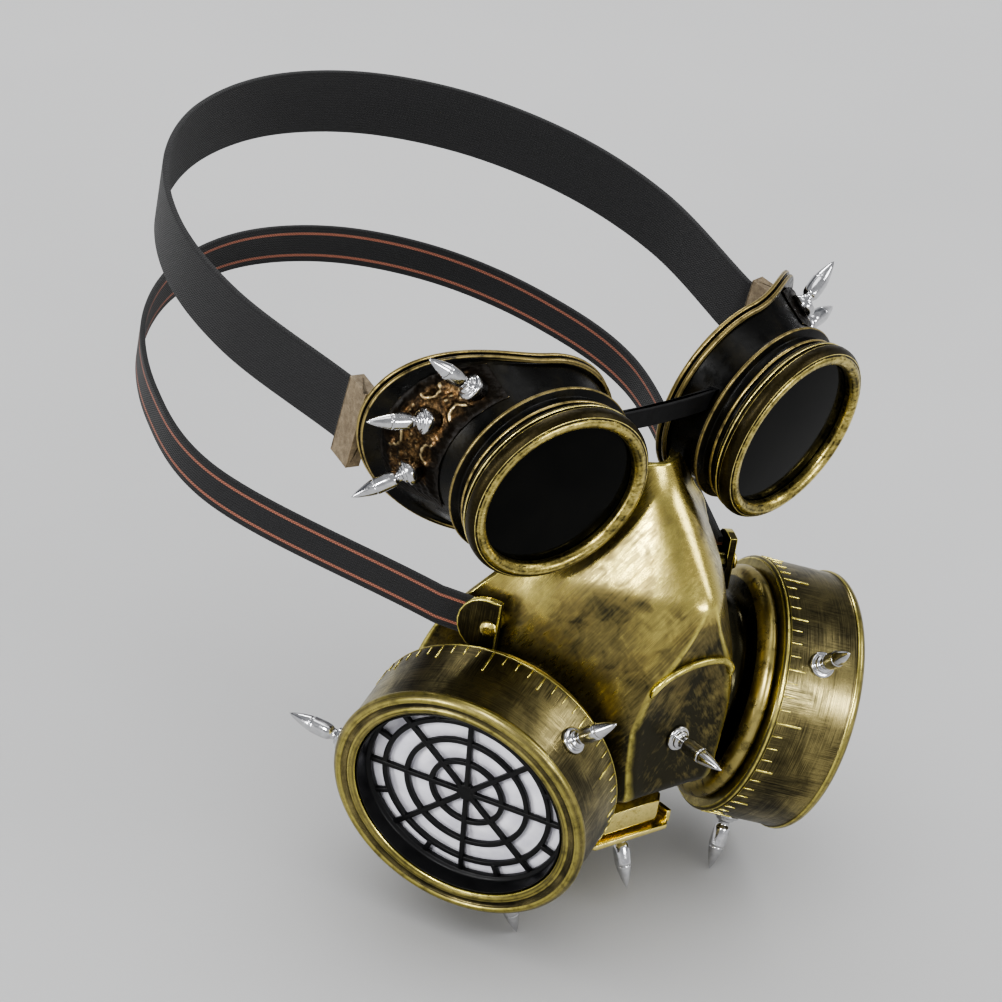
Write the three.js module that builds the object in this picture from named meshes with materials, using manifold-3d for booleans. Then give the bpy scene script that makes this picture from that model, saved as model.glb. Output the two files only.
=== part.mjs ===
// Gas mask style costume mask: a hollow half mask with two filter canisters,
// worn with matching studded goggles. Millimetres, +Z up, -Y to the front, +X the wearer's left.
// The origin is the point on the bridge of the wearer's nose where the mask sits.

import * as THREE from 'three';
import { mergeVertices } from 'three/addons/utils/BufferGeometryUtils.js';
import Module from 'manifold-3d';

const wasm = await Module();
wasm.setup();

// Driving dimensions
const GAP = 0.3;
const degrees = THREE.MathUtils.degToRad;

const SHELL = {
  height: 120,
  halfWidth: 46,
  noseReach: 32.8,
  backReach: 46,
  wall: 2.5,
  lipFlare: 1.6,
  cheekSlope: 0.25,
  lipBend: 0.7,
  flankSteps: 5,
  sideSteps: 3,
};

const ARCH = {
  springShare: 0.467,
  rise: 8.2,
  halfSpan: 14.8,
  radius: 1.1,
  proud: 1,
  stations: 12,
  sides: 6,
};
const archDrop = ARCH.springShare * SHELL.height;

const OUTLET = {
  faceHalfWidth: 13,
  lipHalfWidth: 17,
  faceReach: 17.5,
  topShare: 0.871,
  faceHeight: 5.5,
  slotHeight: 2,
  slotDepth: 5,
  lipHeight: 2.6,
  lipOverhang: 1.6,
  overlap: 1,
  depth: 16,
  corner: 3,
};
const outletTop = OUTLET.topShare * SHELL.height;

const CANISTER = {
  backInset: 2.5,
  backReach: 2.3,
  backShare: 0.6833,
  splay: 63.1,
  pitch: 13,
  radius: 37.9,
  length: 26,
  rimWidth: 6.2,
  rimBand: 2.8,
  floor: 2.5,
  recess: 6.3,
  edge: 0.9,
  sides: 32,
};
const drumOffset = SHELL.halfWidth - CANISTER.backInset;
const drumDrop = CANISTER.backShare * SHELL.height;

// The rolled rim from the drum's side to its bore, as shares of its width inwards and of its band downwards
const RIM_ROLL = [
  { inward: 0, below: 1 },
  { inward: -0.1, below: 0.7 },
  { inward: -0.04, below: 0.14 },
  { inward: 0.2, below: 0 },
  { inward: 0.5, below: 0.32 },
  { inward: 0.75, below: 0.07 },
  { inward: 1, below: 0.32 },
];
const rimRise = Math.max(...RIM_ROLL.map(({ inward }) => -inward)) * CANISTER.rimWidth;

const GRILL = {
  thickness: 1.5,
  hubRadius: 2.6,
  ringRadii: [10.8, 18.4, 25.2],
  ringWidth: 1.7,
  spokeWidth: 1.7,
  spokes: 8,
  arcStep: 23,
};

const TICK = {
  count: 20,
  width: 0.9,
  height: 0.6,
  shortLength: 4,
  longLength: 8,
  longEvery: 4,
  inset: 1.6,
  sunk: 0.5,
};

const COLLAR = {
  flangeRadius: 34.6,
  flangeLength: 4,
  neckRadius: 24.5,
  boreRadius: 19,
  edge: 1,
  draft: 0.6,
  sunk: 20,
  sides: 24,
};

const SPIKE = {
  length: 17,
  chinLength: 19,
  discRadius: 3.9,
  discHeight: 0.84,
  neckRadius: 1.7,
  neckHeight: 1.6,
  bodyRadius: 2.5,
  shoulder: 0.34,
  waist: 0.62,
  waistRadius: 2.3,
  sunk: 4,
  sides: 8,
};

const CHIN_STUD = { dropShare: 0.617, underSetback: 4, underTilt: 27 };

// Each stud's turn from the top of the drum towards the front, and its height above the back plate
const CANISTER_SPIKES = [
  { turn: 46, along: 12 },
  { turn: 163, along: 13 },
  { turn: 277, along: 20.5 },
];

const EYE = {
  noseShare: 0.3326,
  reach: 10,
  rise: 4,
  splay: 8.6,
  pitch: 7.6,
};

const BEZEL = {
  outerRadius: 28.1,
  sightRadius: 23,
  wall: 3.6,
  depth: 6,
  lipDepth: 2.3,
  sides: 26,
};
const bezelBore = BEZEL.outerRadius - BEZEL.wall;

// The ring's rounded front, as shares of the way from the sight to the outside and depths behind its plane
const BEZEL_ROLL = [
  { outward: 0.04, depth: 0.3 },
  { outward: 0.5, depth: -0.9 },
  { outward: 1, depth: 1.4 },
  { outward: 0.76, depth: BEZEL.depth },
];
const bezelCrown = Math.max(...BEZEL_ROLL.map(({ depth }) => -depth));

const LENS = { thickness: 2, dome: 0.8 };

const CUP = {
  barrelRadius: 25.8,
  ridgeRadius: 28.2,
  ridgeDepth: 12.3,
  ridgeWidth: 1.6,
  rimRadius: 28.4,
  rimDepth: 26.5,
  flareRadius: 12,
  flareDepth: 17,
  flareTurn: 5,
  flarePower: 2,
  rimLip: 1.5,
  rimBand: 3,
  bend: 0.5,
  bendRise: 0.4,
  neckEnd: 0.85,
  wall: 2.2,
  sides: 24,
};
const eyeOffset = CUP.ridgeRadius + EYE.noseShare * SHELL.halfWidth;

// The panel's first and last facets round the cup, and how far its edges lie from the ridge to the rim
const VENT = {
  firstFacet: -2,
  lastFacet: 4,
  frontShare: 0.2,
  backShare: 0.8,
  thickness: 1.2,
  lift: 0.45,
};
const ventFace = VENT.lift + VENT.thickness;

// Each stud's foot about the eyepiece's axis from the temple upwards, and the way that its tip points
const GOGGLE_SPIKES = [
  { foot: -12, lean: -32 },
  { foot: 18, lean: -1 },
  { foot: 46, lean: 33 },
];
const GOGGLE_SPIKE_SEAT = { share: 0.48, sweep: 10, lift: ventFace + GAP };

const BRIDGE = { lift: 12.5, reach: 1.2, height: 5.5, thickness: 2.4, overlap: 4, bow: 1.5, steps: 6 };

const EAR = {
  dropShare: 0.4,
  lift: 2,
  radius: 8.4,
  straight: 4,
  thickness: 2.2,
  postRadius: 2.4,
  postInset: 1.5,
  rivetRadius: 2.7,
  rivetHeight: 1.3,
  rivetShoulder: 0.6,
  rivetCrown: 0.45,
  rivetDraft: 0.9,
  sunk: 6,
  sides: 10,
};

const HEAD = { halfWidth: 80, centre: 96, halfDepth: 92, stations: 4, firstRise: 0.4 };

const MASK_STRAP = { width: 12, thickness: 1.6, rise: 22, straight: 14, relax: 60, steps: 26 };

const GOGGLE_STRAP = { width: 20, thickness: 1.8, rise: 16, straight: 8, relax: 60, steps: 26 };

const BUCKLE = { height: 25, thickness: 4.4, depth: 9, turn: -5, pocket: 6, inset: 2.4 };

// Finishes
const finish = (color, roughness, metalness) => (
  new THREE.MeshStandardMaterial({ color, roughness, metalness })
);
const ANTIQUE_BRASS = finish(0x8c7a3e, 0.42, 0.9);
const BRIGHT_BRASS = finish(0xb59a4a, 0.35, 0.95);
const BLACK_PLASTIC = finish(0x151412, 0.45, 0.0);
const CHROME = finish(0xd9dadc, 0.12, 1.0);
const FILTER_WHITE = finish(0xe9e8f0, 0.9, 0.0);
const DARK_GLASS = finish(0x10120f, 0.08, 0.0);
const BLACK_ELASTIC = finish(0x121214, 0.9, 0.0);
const TAN_LEATHER = finish(0xa08a62, 0.7, 0.0);

// Solid helpers

/** Six times the signed volume of an indexed geometry */
function signedVolume(positions, index) {
  const [a, b, c] = [0, 1, 2].map(() => new THREE.Vector3());
  let sum = 0;
  for (let i = 0; i < index.length; i += 3) {
    a.fromArray(positions, index[i] * 3);
    b.fromArray(positions, index[i + 1] * 3);
    c.fromArray(positions, index[i + 2] * 3);
    sum += a.dot(b.cross(c));
  }
  return sum;
}

/** The same surface with shared corners merged, empty triangles dropped and its faces pointing out */
function weld(geometry) {
  const bare = geometry.clone();
  bare.deleteAttribute('normal');
  bare.deleteAttribute('uv');
  const merged = mergeVertices(bare, 1e-4);
  const source = merged.index.array;
  const index = [];
  for (let i = 0; i < source.length; i += 3) {
    const [a, b, c] = [source[i], source[i + 1], source[i + 2]];
    if (a !== b && b !== c && c !== a) index.push(a, b, c);
  }
  if (signedVolume(merged.attributes.position.array, index) < 0) index.reverse();
  const welded = new THREE.BufferGeometry();
  welded.setAttribute('position', merged.attributes.position);
  welded.setIndex(index);
  return welded;
}

/** A closed geometry as a manifold solid */
function solidOf(geometry) {
  const welded = weld(geometry);
  return new wasm.Manifold(new wasm.Mesh({
    numProp: 3,
    vertProperties: new Float32Array(welded.attributes.position.array),
    triVerts: new Uint32Array(welded.index.array),
  }));
}

/** A manifold solid as a geometry */
function geometryOf(solid) {
  const mesh = solid.getMesh();
  const geometry = new THREE.BufferGeometry();
  geometry.setAttribute('position', new THREE.BufferAttribute(new Float32Array(mesh.vertProperties), 3));
  geometry.setIndex(new THREE.BufferAttribute(new Uint32Array(mesh.triVerts), 1));
  return geometry;
}

/** A closed solid lofted through rings of an even number of points; its ends are closed across the ring */
function loft(rings, closed = false) {
  const count = rings[0].length;
  const positions = rings.flat().flatMap((point) => point.toArray());
  const index = [];
  const quad = (a, b, c, d) => index.push(a, b, c, a, c, d);
  const bays = closed ? rings.length : rings.length - 1;
  for (let row = 0; row < bays; row += 1) {
    const here = row * count;
    const next = ((row + 1) % rings.length) * count;
    for (let i = 0; i < count; i += 1) {
      const j = (i + 1) % count;
      quad(here + i, here + j, next + j, next + i);
    }
  }
  if (!closed) {
    const last = (rings.length - 1) * count;
    for (let i = 0; i < count / 2 - 1; i += 1) {
      const k = count - 1 - i;
      quad(i, k, k - 1, i + 1);
      quad(last + i, last + i + 1, last + k - 1, last + k);
    }
  }
  const geometry = new THREE.BufferGeometry();
  geometry.setAttribute('position', new THREE.Float32BufferAttribute(positions, 3));
  geometry.setIndex(index);
  return weld(geometry);
}

/** A solid turned about +Z from a profile of [radius, height] rows */
function turned(profile, sides) {
  const points = profile.map(([radius, height]) => new THREE.Vector2(Math.max(radius, 0), height));
  return weld(new THREE.LatheGeometry(points, sides).rotateX(Math.PI / 2));
}

/** A geometry placed by a matrix and cut by a solid, given back in its own frame */
function seatOn(geometry, placement, carrier) {
  const cut = geometryOf(solidOf(geometry.clone().applyMatrix4(placement)).subtract(carrier));
  return cut.applyMatrix4(placement.clone().invert());
}

/** A matrix whose +Z follows a direction, with +X as near as it can be to a second one */
function frameAlong(position, direction, sideways) {
  const z = direction.clone().normalize();
  const x = sideways.clone().addScaledVector(z, -sideways.dot(z)).normalize();
  const y = new THREE.Vector3().crossVectors(z, x);
  return new THREE.Matrix4().makeBasis(x, y, z).setPosition(position);
}

/** A named mesh placed by a matrix */
function piece(name, geometry, material, placement = new THREE.Matrix4()) {
  const shape = weld(geometry);
  shape.computeVertexNormals();
  const mesh = new THREE.Mesh(shape, material);
  mesh.name = name;
  mesh.applyMatrix4(placement);
  return mesh;
}

/** A group placed by a matrix */
function placedGroup(placement) {
  const group = new THREE.Group();
  group.applyMatrix4(placement);
  return group;
}

/** The direction that lies splayed out from the front and pitched down, for one side of the face */
function facing(side, splay, pitch) {
  const level = Math.cos(degrees(pitch));
  return new THREE.Vector3(
    side * Math.sin(degrees(splay)) * level,
    -Math.cos(degrees(splay)) * level,
    -Math.sin(degrees(pitch)),
  );
}

// Half mask shell

// A row for each level from the top of the nose to under the chin. Columns are shares: drops of the height,
// widths of the half width, and reaches of the nose's reach in front (-) or the back edge's reach behind (+).
const SHELL_ROWS = [
  // front: drop, reach, flat, round | side: width, reach, drop | back: width, reach, drop
  [-0.024, -0.14, 0.012, 0.08, 0.15, -0.05, -0.016, 0.2, 0.06, 0.0],
  [0.04, -0.29, 0.012, 0.11, 0.24, 0.03, 0.046, 0.36, 0.13, 0.06],
  [0.104, -0.53, 0.012, 0.15, 0.38, 0.07, 0.112, 0.53, 0.19, 0.14],
  [0.175, -0.77, 0.012, 0.19, 0.54, 0.1, 0.18, 0.7, 0.26, 0.205],
  [0.247, -1.0, 0.02, 0.2, 0.69, 0.1, 0.25, 0.8, 0.3, 0.27],
  [0.32, -0.985, 0.11, 0.17, 0.76, 0.08, 0.32, 0.93, 0.39, 0.33],
  [0.4, -0.948, 0.24, 0.13, 0.81, 0.09, 0.4, 1.0, 0.5, 0.41],
  [0.457, -0.9, 0.325, 0.11, 0.84, 0.1, 0.457, 1.02, 0.58, 0.46],
  [0.567, -0.875, 0.39, 0.1, 0.85, 0.13, 0.567, 1.0, 0.7, 0.56],
  [0.667, -0.88, 0.37, 0.1, 0.81, 0.16, 0.667, 0.95, 0.8, 0.66],
  [0.765, -0.895, 0.33, 0.1, 0.74, 0.19, 0.775, 0.86, 0.88, 0.76],
  [0.803, -0.6, 0.31, 0.1, 0.67, 0.22, 0.85, 0.77, 0.92, 0.84],
  [0.865, -0.44, 0.28, 0.09, 0.54, 0.3, 0.915, 0.62, 0.96, 0.905],
  [0.925, -0.3, 0.24, 0.07, 0.38, 0.5, 0.955, 0.42, 1.0, 0.95],
  [0.96, -0.02, 0.18, 0.06, 0.27, 0.65, 0.965, 0.3, 1.01, 0.96],
  [0.98, 0.55, 0.1, 0.04, 0.18, 0.85, 0.975, 0.2, 1.02, 0.965],
].map(([drop, reach, flat, round, sideWidth, sideReach, sideDrop, backWidth, backReach, backDrop]) => ({
  drop, reach, flat, round, sideWidth, sideReach, sideDrop, backWidth, backReach, backDrop,
}));

const reachOf = (share) => share * (share < 0 ? SHELL.noseReach : SHELL.backReach);

/** Half of one level of the shell, from the middle of the front to the back edge */
function halfSection(row) {
  const at = (width, reach, drop) => new THREE.Vector3(
    width * SHELL.halfWidth,
    reachOf(reach),
    -drop * SHELL.height,
  );
  const front = at(0, row.reach, row.drop);
  const flat = at(row.flat, row.reach, row.drop);
  const side = at(row.sideWidth, row.sideReach, row.sideDrop);
  const back = at(row.backWidth, row.backReach, row.backDrop);
  const round = row.round * SHELL.halfWidth;
  const cheek = new THREE.QuadraticBezierCurve3(
    flat,
    flat.clone().add(new THREE.Vector3(round, round * SHELL.cheekSlope, 0)),
    side,
  );
  const outward = new THREE.Vector3(back.y - side.y, side.x - back.x, 0).normalize();
  const bend = side.clone().lerp(back, SHELL.lipBend);
  const lip = back.clone().addScaledVector(outward, SHELL.lipFlare);
  const rim = new THREE.QuadraticBezierCurve3(side, bend, lip);
  return [front, ...cheek.getPoints(SHELL.flankSteps).slice(0, -1), ...rim.getPoints(SHELL.sideSteps)];
}

/** A whole level, from the right back edge round the front to the left one */
function wholeSection(row) {
  const left = halfSection(row);
  const right = left.slice(1).reverse().map((point) => point.clone().setX(-point.x));
  return [...right, ...left];
}

/** Each grid point moved along the surface's outward direction there */
function offsetGrid(grid, distance) {
  const at = (row, column) => grid[row][column];
  return grid.map((row, i) => row.map((point, j) => {
    const down = at(Math.min(i + 1, grid.length - 1), j).clone().sub(at(Math.max(i - 1, 0), j));
    const along = at(i, Math.min(j + 1, row.length - 1)).clone().sub(at(i, Math.max(j - 1, 0)));
    const outward = down.cross(along).normalize();
    return point.clone().addScaledVector(outward, distance);
  }));
}

const shellGrid = SHELL_ROWS.map(wholeSection);

/** The shell's wall, before the arch is raised on it and the eyepieces' seats are cut */
function shellWall() {
  const inner = offsetGrid(shellGrid, -SHELL.wall);
  return solidOf(loft(shellGrid.map((row, i) => [...row, ...inner[i].slice().reverse()])));
}

/** All the space inside the shell's outer face, grown by a gap */
function shellSpace(gap) {
  const outer = offsetGrid(shellGrid, gap);
  return solidOf(loft(outer.map((row) => {
    const back = row.map((point) => new THREE.Vector3(point.x, Math.max(row[0].y, point.y) + gap, row[0].z));
    return [...row, ...back.reverse()];
  })));
}

/** How far forward the middle of the shell's front lies at one drop */
function frontAt(drop) {
  const middle = shellGrid.map((row) => row[(row.length - 1) / 2]);
  const below = middle.findIndex((point) => -point.z >= drop);
  const [upper, lower] = [middle[below - 1], middle[below]];
  return upper.y + ((lower.y - upper.y) * (drop + upper.z)) / (upper.z - lower.z);
}

/** The half round moulding that crosses the front below the nose */
function archMoulding() {
  const points = Array.from({ length: ARCH.stations + 1 }, (_, i) => {
    const turn = Math.PI * (1 - i / ARCH.stations);
    const drop = archDrop - Math.sin(turn) * ARCH.rise;
    return new THREE.Vector3(Math.cos(turn) * ARCH.halfSpan, frontAt(drop) - ARCH.proud, -drop);
  });
  const section = new THREE.Shape().absarc(0, 0, ARCH.radius, 0, Math.PI * 2, false);
  return new THREE.ExtrudeGeometry(section, {
    steps: ARCH.stations,
    curveSegments: ARCH.sides / 2,
    extrudePath: new THREE.CatmullRomCurve3(points),
  });
}

// Eyepieces

/** How far the cup's flare has grown towards the temple, from 0 to 1 */
function flare(angle) {
  return Math.max(Math.cos(angle - degrees(CUP.flareTurn)), 0) ** CUP.flarePower;
}

/** A point on the cup's outer face: share 0 lies behind the ridge and 1 on the rear rim */
function cupPoint(side, angle, share, lift = 0) {
  const grown = flare(angle);
  const steepness = (1 - CUP.bendRise) / (1 - CUP.bend);
  const rise = share < CUP.bend
    ? (share / CUP.bend) * CUP.bendRise
    : CUP.bendRise + (share - CUP.bend) * steepness;
  const radius = CUP.barrelRadius + (CUP.rimRadius + CUP.flareRadius * grown - CUP.barrelRadius) * rise;
  const start = CUP.ridgeDepth + CUP.ridgeWidth;
  const depth = start + (CUP.rimDepth + CUP.flareDepth * grown - start) * share;
  return cupRingPoint(side, angle, radius + lift, depth);
}

/** A point at a radius and depth behind the bezel's front, in the eyepiece's frame */
function cupRingPoint(side, angle, radius, depth) {
  return new THREE.Vector3(side * radius * Math.cos(angle), radius * Math.sin(angle), -depth);
}

/** The outer levels of the cup at one angle, from the front neck to the rear rim */
function cupOutline(side, angle, lift) {
  const ring = (radius, depth) => cupRingPoint(side, angle, radius + lift, depth);
  const grown = flare(angle);
  const rimRadius = CUP.rimRadius + CUP.flareRadius * grown;
  const rimDepth = CUP.rimDepth + CUP.flareDepth * grown;
  return [
    ring(CUP.barrelRadius, BEZEL.depth + GAP),
    ring(CUP.barrelRadius, CUP.ridgeDepth - CUP.ridgeWidth / 2),
    ring(CUP.ridgeRadius, CUP.ridgeDepth),
    ring(CUP.ridgeRadius, CUP.ridgeDepth + CUP.ridgeWidth / 2),
    cupPoint(side, angle, 0, lift),
    cupPoint(side, angle, CUP.bend, lift),
    cupPoint(side, angle, CUP.neckEnd, lift),
    ring(rimRadius + CUP.rimLip, rimDepth - CUP.rimBand / 2),
    ring(rimRadius + CUP.rimLip, rimDepth),
  ];
}

const cupAngles = Array.from({ length: CUP.sides }, (_, i) => (i / CUP.sides) * Math.PI * 2);

/** The hollow cup that stands on the face around one eye */
function cupWall(side) {
  const neckRadius = bezelBore - GAP;
  const sections = cupAngles.map((angle) => {
    const outer = cupOutline(side, angle, 0);
    const grown = flare(angle);
    const rimInner = CUP.rimRadius + CUP.flareRadius * grown - CUP.wall;
    const rimDepth = CUP.rimDepth + CUP.flareDepth * grown;
    const front = BEZEL.lipDepth + LENS.thickness + GAP * 2;
    const bore = neckRadius - CUP.wall;
    const inner = [
      cupRingPoint(side, angle, rimInner, rimDepth),
      cupRingPoint(side, angle, bore, CUP.ridgeDepth),
      cupRingPoint(side, angle, bore, front),
    ];
    const neck = [
      cupRingPoint(side, angle, neckRadius, front),
      cupRingPoint(side, angle, neckRadius, BEZEL.depth + GAP),
    ];
    return [...neck, ...outer, ...inner];
  });
  return loft(sections, true);
}

/** All the space inside the cup's and the bezel's outer faces, grown by a gap */
function cupSpace(side, gap) {
  const outlines = cupAngles.map((angle) => cupOutline(side, angle, gap));
  const rings = outlines[0].map((_, level) => outlines.map((outline) => outline[level].clone()));
  rings[rings.length - 1].forEach((point) => point.setZ(point.z - gap));
  rings.push(rings[rings.length - 1].map((point) => {
    const inward = new THREE.Vector3(-point.x, -point.y, 0).setLength(CUP.wall * 2);
    return point.clone().add(inward);
  }));
  const bezel = turned([
    [0, bezelCrown + gap],
    [BEZEL.outerRadius + gap, bezelCrown + gap],
    [BEZEL.outerRadius + gap, -BEZEL.depth - GAP - gap],
    [0, -BEZEL.depth - GAP - gap],
  ], BEZEL.sides);
  return solidOf(loft(rings)).add(solidOf(bezel));
}

/** The rounded ring screwed over the front of the cup */
function bezelRing() {
  const { outerRadius, sightRadius, lipDepth } = BEZEL;
  return turned([
    [sightRadius, -lipDepth],
    ...BEZEL_ROLL.map(({ outward, depth }) => [sightRadius + (outerRadius - sightRadius) * outward, -depth]),
    [bezelBore, -BEZEL.depth],
    [bezelBore, -lipDepth],
    [sightRadius, -lipDepth],
  ], BEZEL.sides);
}

/** The domed lens held behind the bezel's lip */
function lensDisc() {
  const radius = bezelBore - GAP;
  const front = -BEZEL.lipDepth - GAP;
  const shoulder = BEZEL.sightRadius - GAP;
  return turned([
    [0, front + LENS.dome],
    [shoulder, front],
    [radius, front],
    [radius, front - LENS.thickness],
    [0, front - LENS.thickness],
  ], BEZEL.sides);
}

/** The frame of one eyepiece: the middle of its ring's front, with +Z out along its axis */
function eyeSeat(side) {
  const middle = new THREE.Vector3(side * eyeOffset, -EYE.reach, EYE.rise);
  return frameAlong(middle, facing(side, EYE.splay, EYE.pitch), new THREE.Vector3(1, 0, 0));
}

/** The space of one eyepiece in the mask's own frame */
function eyeSpace(side) {
  return solidOf(geometryOf(cupSpace(side, GAP)).applyMatrix4(eyeSeat(side)));
}

/** The cast panel on the temple side of the cup, which carries the studs */
function ventPanel(side) {
  const shares = [VENT.frontShare, CUP.bend, VENT.backShare];
  const rows = [];
  for (let facet = VENT.firstFacet; facet <= VENT.lastFacet; facet += 1) {
    const angle = (facet / CUP.sides) * Math.PI * 2;
    const under = shares.map((share) => cupPoint(side, angle, share, VENT.lift));
    const over = shares.map((share) => cupPoint(side, angle, share, ventFace));
    rows.push([...over, ...under.reverse()]);
  }
  return loft(rows);
}

// Studs, canisters and straps

/** A pointed stud on a round foot, with its tip along +Z and its foot sunk below zero for seating */
function spike(length) {
  return turned([
    [0, -SPIKE.sunk],
    [SPIKE.discRadius, -SPIKE.sunk],
    [SPIKE.discRadius, SPIKE.discHeight],
    [SPIKE.neckRadius, SPIKE.neckHeight],
    [SPIKE.bodyRadius, length * SPIKE.shoulder],
    [SPIKE.waistRadius, length * SPIKE.waist],
    [0, length],
  ], SPIKE.sides);
}

const drumBore = CANISTER.radius - CANISTER.rimWidth;
const grillFront = CANISTER.length - CANISTER.recess;

/** The open drum of a canister with its rolled rim, from its back plate at zero */
function canisterDrum() {
  const { radius, length, rimWidth, rimBand, floor, edge, sides } = CANISTER;
  return turned([
    [0, 0],
    [radius - edge, 0],
    [radius, edge],
    ...RIM_ROLL.map(({ inward, below }) => [radius - rimWidth * inward, length - rimBand * below]),
    [drumBore, floor],
    [0, floor],
  ], sides);
}

/** All the space inside the drum's outer face, its scale and its rim, grown by the gap */
function canisterSpace() {
  const { radius, length, rimBand, sides } = CANISTER;
  const scaleEnd = TICK.inset + TICK.longLength + GAP;
  const rimStart = length - rimBand - GAP;
  return solidOf(turned([
    [0, 0],
    [radius + TICK.height + GAP, 0],
    [radius + TICK.height + GAP, scaleEnd],
    [radius + GAP, scaleEnd],
    [radius + GAP, rimStart],
    [radius + rimRise + GAP, rimStart],
    [radius + rimRise + GAP, length],
    [0, length],
  ], sides));
}

/** The drum with a gauge scale raised round its back edge */
function canisterBody() {
  const flat = CANISTER.radius * Math.cos(Math.PI / CANISTER.sides);
  let solid = solidOf(canisterDrum());
  for (let i = 0; i < TICK.count; i += 1) {
    const facet = Math.round((i * CANISTER.sides) / TICK.count);
    const angle = ((facet + 0.5) / CANISTER.sides) * Math.PI * 2;
    const length = i % TICK.longEvery === 0 ? TICK.longLength : TICK.shortLength;
    const bar = new THREE.BoxGeometry(TICK.height + TICK.sunk, TICK.width, length);
    bar.translate(flat + (TICK.height - TICK.sunk) / 2, 0, TICK.inset + length / 2);
    bar.rotateZ(angle);
    solid = solid.add(solidOf(bar));
  }
  return geometryOf(solid);
}

/** Points along an arc about the origin */
function arcPoints(radius, from, to, steps) {
  return Array.from({ length: steps + 1 }, (_, i) => {
    const angle = from + ((to - from) * i) / steps;
    return new THREE.Vector2(radius * Math.cos(angle), radius * Math.sin(angle));
  });
}

/** The cobweb grill: rings and spokes with the cells between them cut through */
function grillPlate() {
  const { ringRadii, ringWidth, spokeWidth, spokes, hubRadius, arcStep, thickness } = GRILL;
  const rim = drumBore - GAP;
  const plate = new THREE.Shape(arcPoints(rim, 0, Math.PI * 2, CANISTER.sides).slice(0, -1));
  const cell = (inner, outer, from, to) => {
    const arcSteps = Math.round((to - from) / degrees(arcStep));
    const slack = (radius) => Math.asin(spokeWidth / 2 / radius);
    const points = [
      ...arcPoints(outer, from + slack(outer), to - slack(outer), arcSteps),
      ...arcPoints(inner, to - slack(inner), from + slack(inner), arcSteps),
    ];
    plate.holes.push(new THREE.Path(points.reverse()));
  };
  const edges = [hubRadius - ringWidth / 2, ...ringRadii, rim - ringWidth / 2];
  edges.slice(1).forEach((edge, bay) => {
    const cells = bay === ringRadii.length ? spokes * 2 : spokes;
    for (let i = 0; i < cells; i += 1) {
      const turn = (Math.PI * 2) / cells;
      cell(edges[bay] + ringWidth / 2, edge - ringWidth / 2, i * turn, (i + 1) * turn);
    }
  });
  return new THREE.ExtrudeGeometry(plate, { depth: thickness, bevelEnabled: false, steps: 1 });
}

/** The stepped collar between a canister and the shell, sunk below its seat */
function collarRing() {
  const { flangeRadius, flangeLength, neckRadius, boreRadius, edge, draft, sunk, sides } = COLLAR;
  return turned([
    [boreRadius, -GAP],
    [flangeRadius - edge, -GAP],
    [flangeRadius, -GAP - edge],
    [flangeRadius - draft, -flangeLength],
    [neckRadius, -flangeLength - edge],
    [neckRadius, -sunk],
    [boreRadius, -sunk],
    [boreRadius, -GAP],
  ], sides);
}

/** A flat band round the back of the head. Its end frame has +X out, +Y up and +Z the way it leaves. */
function headBand({ width, thickness, rise, steps, straight, relax }, endFrame) {
  const anchor = new THREE.Vector3().setFromMatrixPosition(endFrame);
  const [, endUp, leave] = [0, 1, 2].map((axis) => new THREE.Vector3().setFromMatrixColumn(endFrame, axis));
  const half = [anchor.clone().addScaledVector(leave, straight)];
  for (let i = 0; i < HEAD.stations; i += 1) {
    const angle = (i / HEAD.stations) * (Math.PI / 2);
    half.push(new THREE.Vector3(
      HEAD.halfWidth * Math.cos(angle),
      HEAD.centre + HEAD.halfDepth * Math.sin(angle),
      anchor.z + rise * (HEAD.firstRise + (1 - HEAD.firstRise) * Math.sin(angle)),
    ));
  }
  const middle = new THREE.Vector3(0, HEAD.centre + HEAD.halfDepth, anchor.z + rise);
  const other = half.map((point) => point.clone().setX(-point.x)).reverse();
  const path = new THREE.CatmullRomCurve3([...half, middle, ...other], false, 'centripetal');
  const length = path.getLength();
  const section = (point, along, turn) => {
    const up = endUp.clone().lerp(new THREE.Vector3(0, 0, 1), turn);
    up.addScaledVector(along, -up.dot(along)).normalize();
    const outward = along.clone().cross(up);
    const corner = (out, lift) => point.clone()
      .addScaledVector(outward, (out * thickness) / 2)
      .addScaledVector(up, (lift * width) / 2);
    return [corner(1, -1), corner(1, 1), corner(-1, 1), corner(-1, -1)];
  };
  const rings = [section(anchor, leave, 0), section(half[0], leave, 0)];
  for (let i = 1; i <= steps / 2; i += 1) {
    const share = i / steps;
    const turn = Math.min((share * length) / relax, 1);
    rings.push(section(path.getPointAt(share), path.getTangentAt(share), turn));
  }
  const mirror = (ring) => ring.map((point) => point.clone().setX(-point.x));
  const mirrored = rings.slice(0, -1).reverse().map(mirror);
  return loft([...rings, ...mirrored]);
}

const earStand = MASK_STRAP.thickness + SHELL.lipFlare + GAP * 2;

/** A frame on the shell's cheek behind its crease, with +Z out of the shell and +X up */
function earSeat(side) {
  const level = shellGrid[SHELL_ROWS.findIndex(({ drop }) => drop >= EAR.dropShare)];
  const rim = side > 0 ? level.length - 1 : 0;
  const [inner, outer] = [level[rim - side * SHELL.sideSteps], level[rim - side]];
  const middle = inner.clone().lerp(outer, 0.5).add(new THREE.Vector3(0, 0, EAR.lift));
  const along = outer.clone().sub(inner).setZ(0).normalize();
  const outward = new THREE.Vector3(side * along.y, -side * along.x, 0);
  return frameAlong(middle, outward, new THREE.Vector3(0, 0, 1));
}

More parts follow.
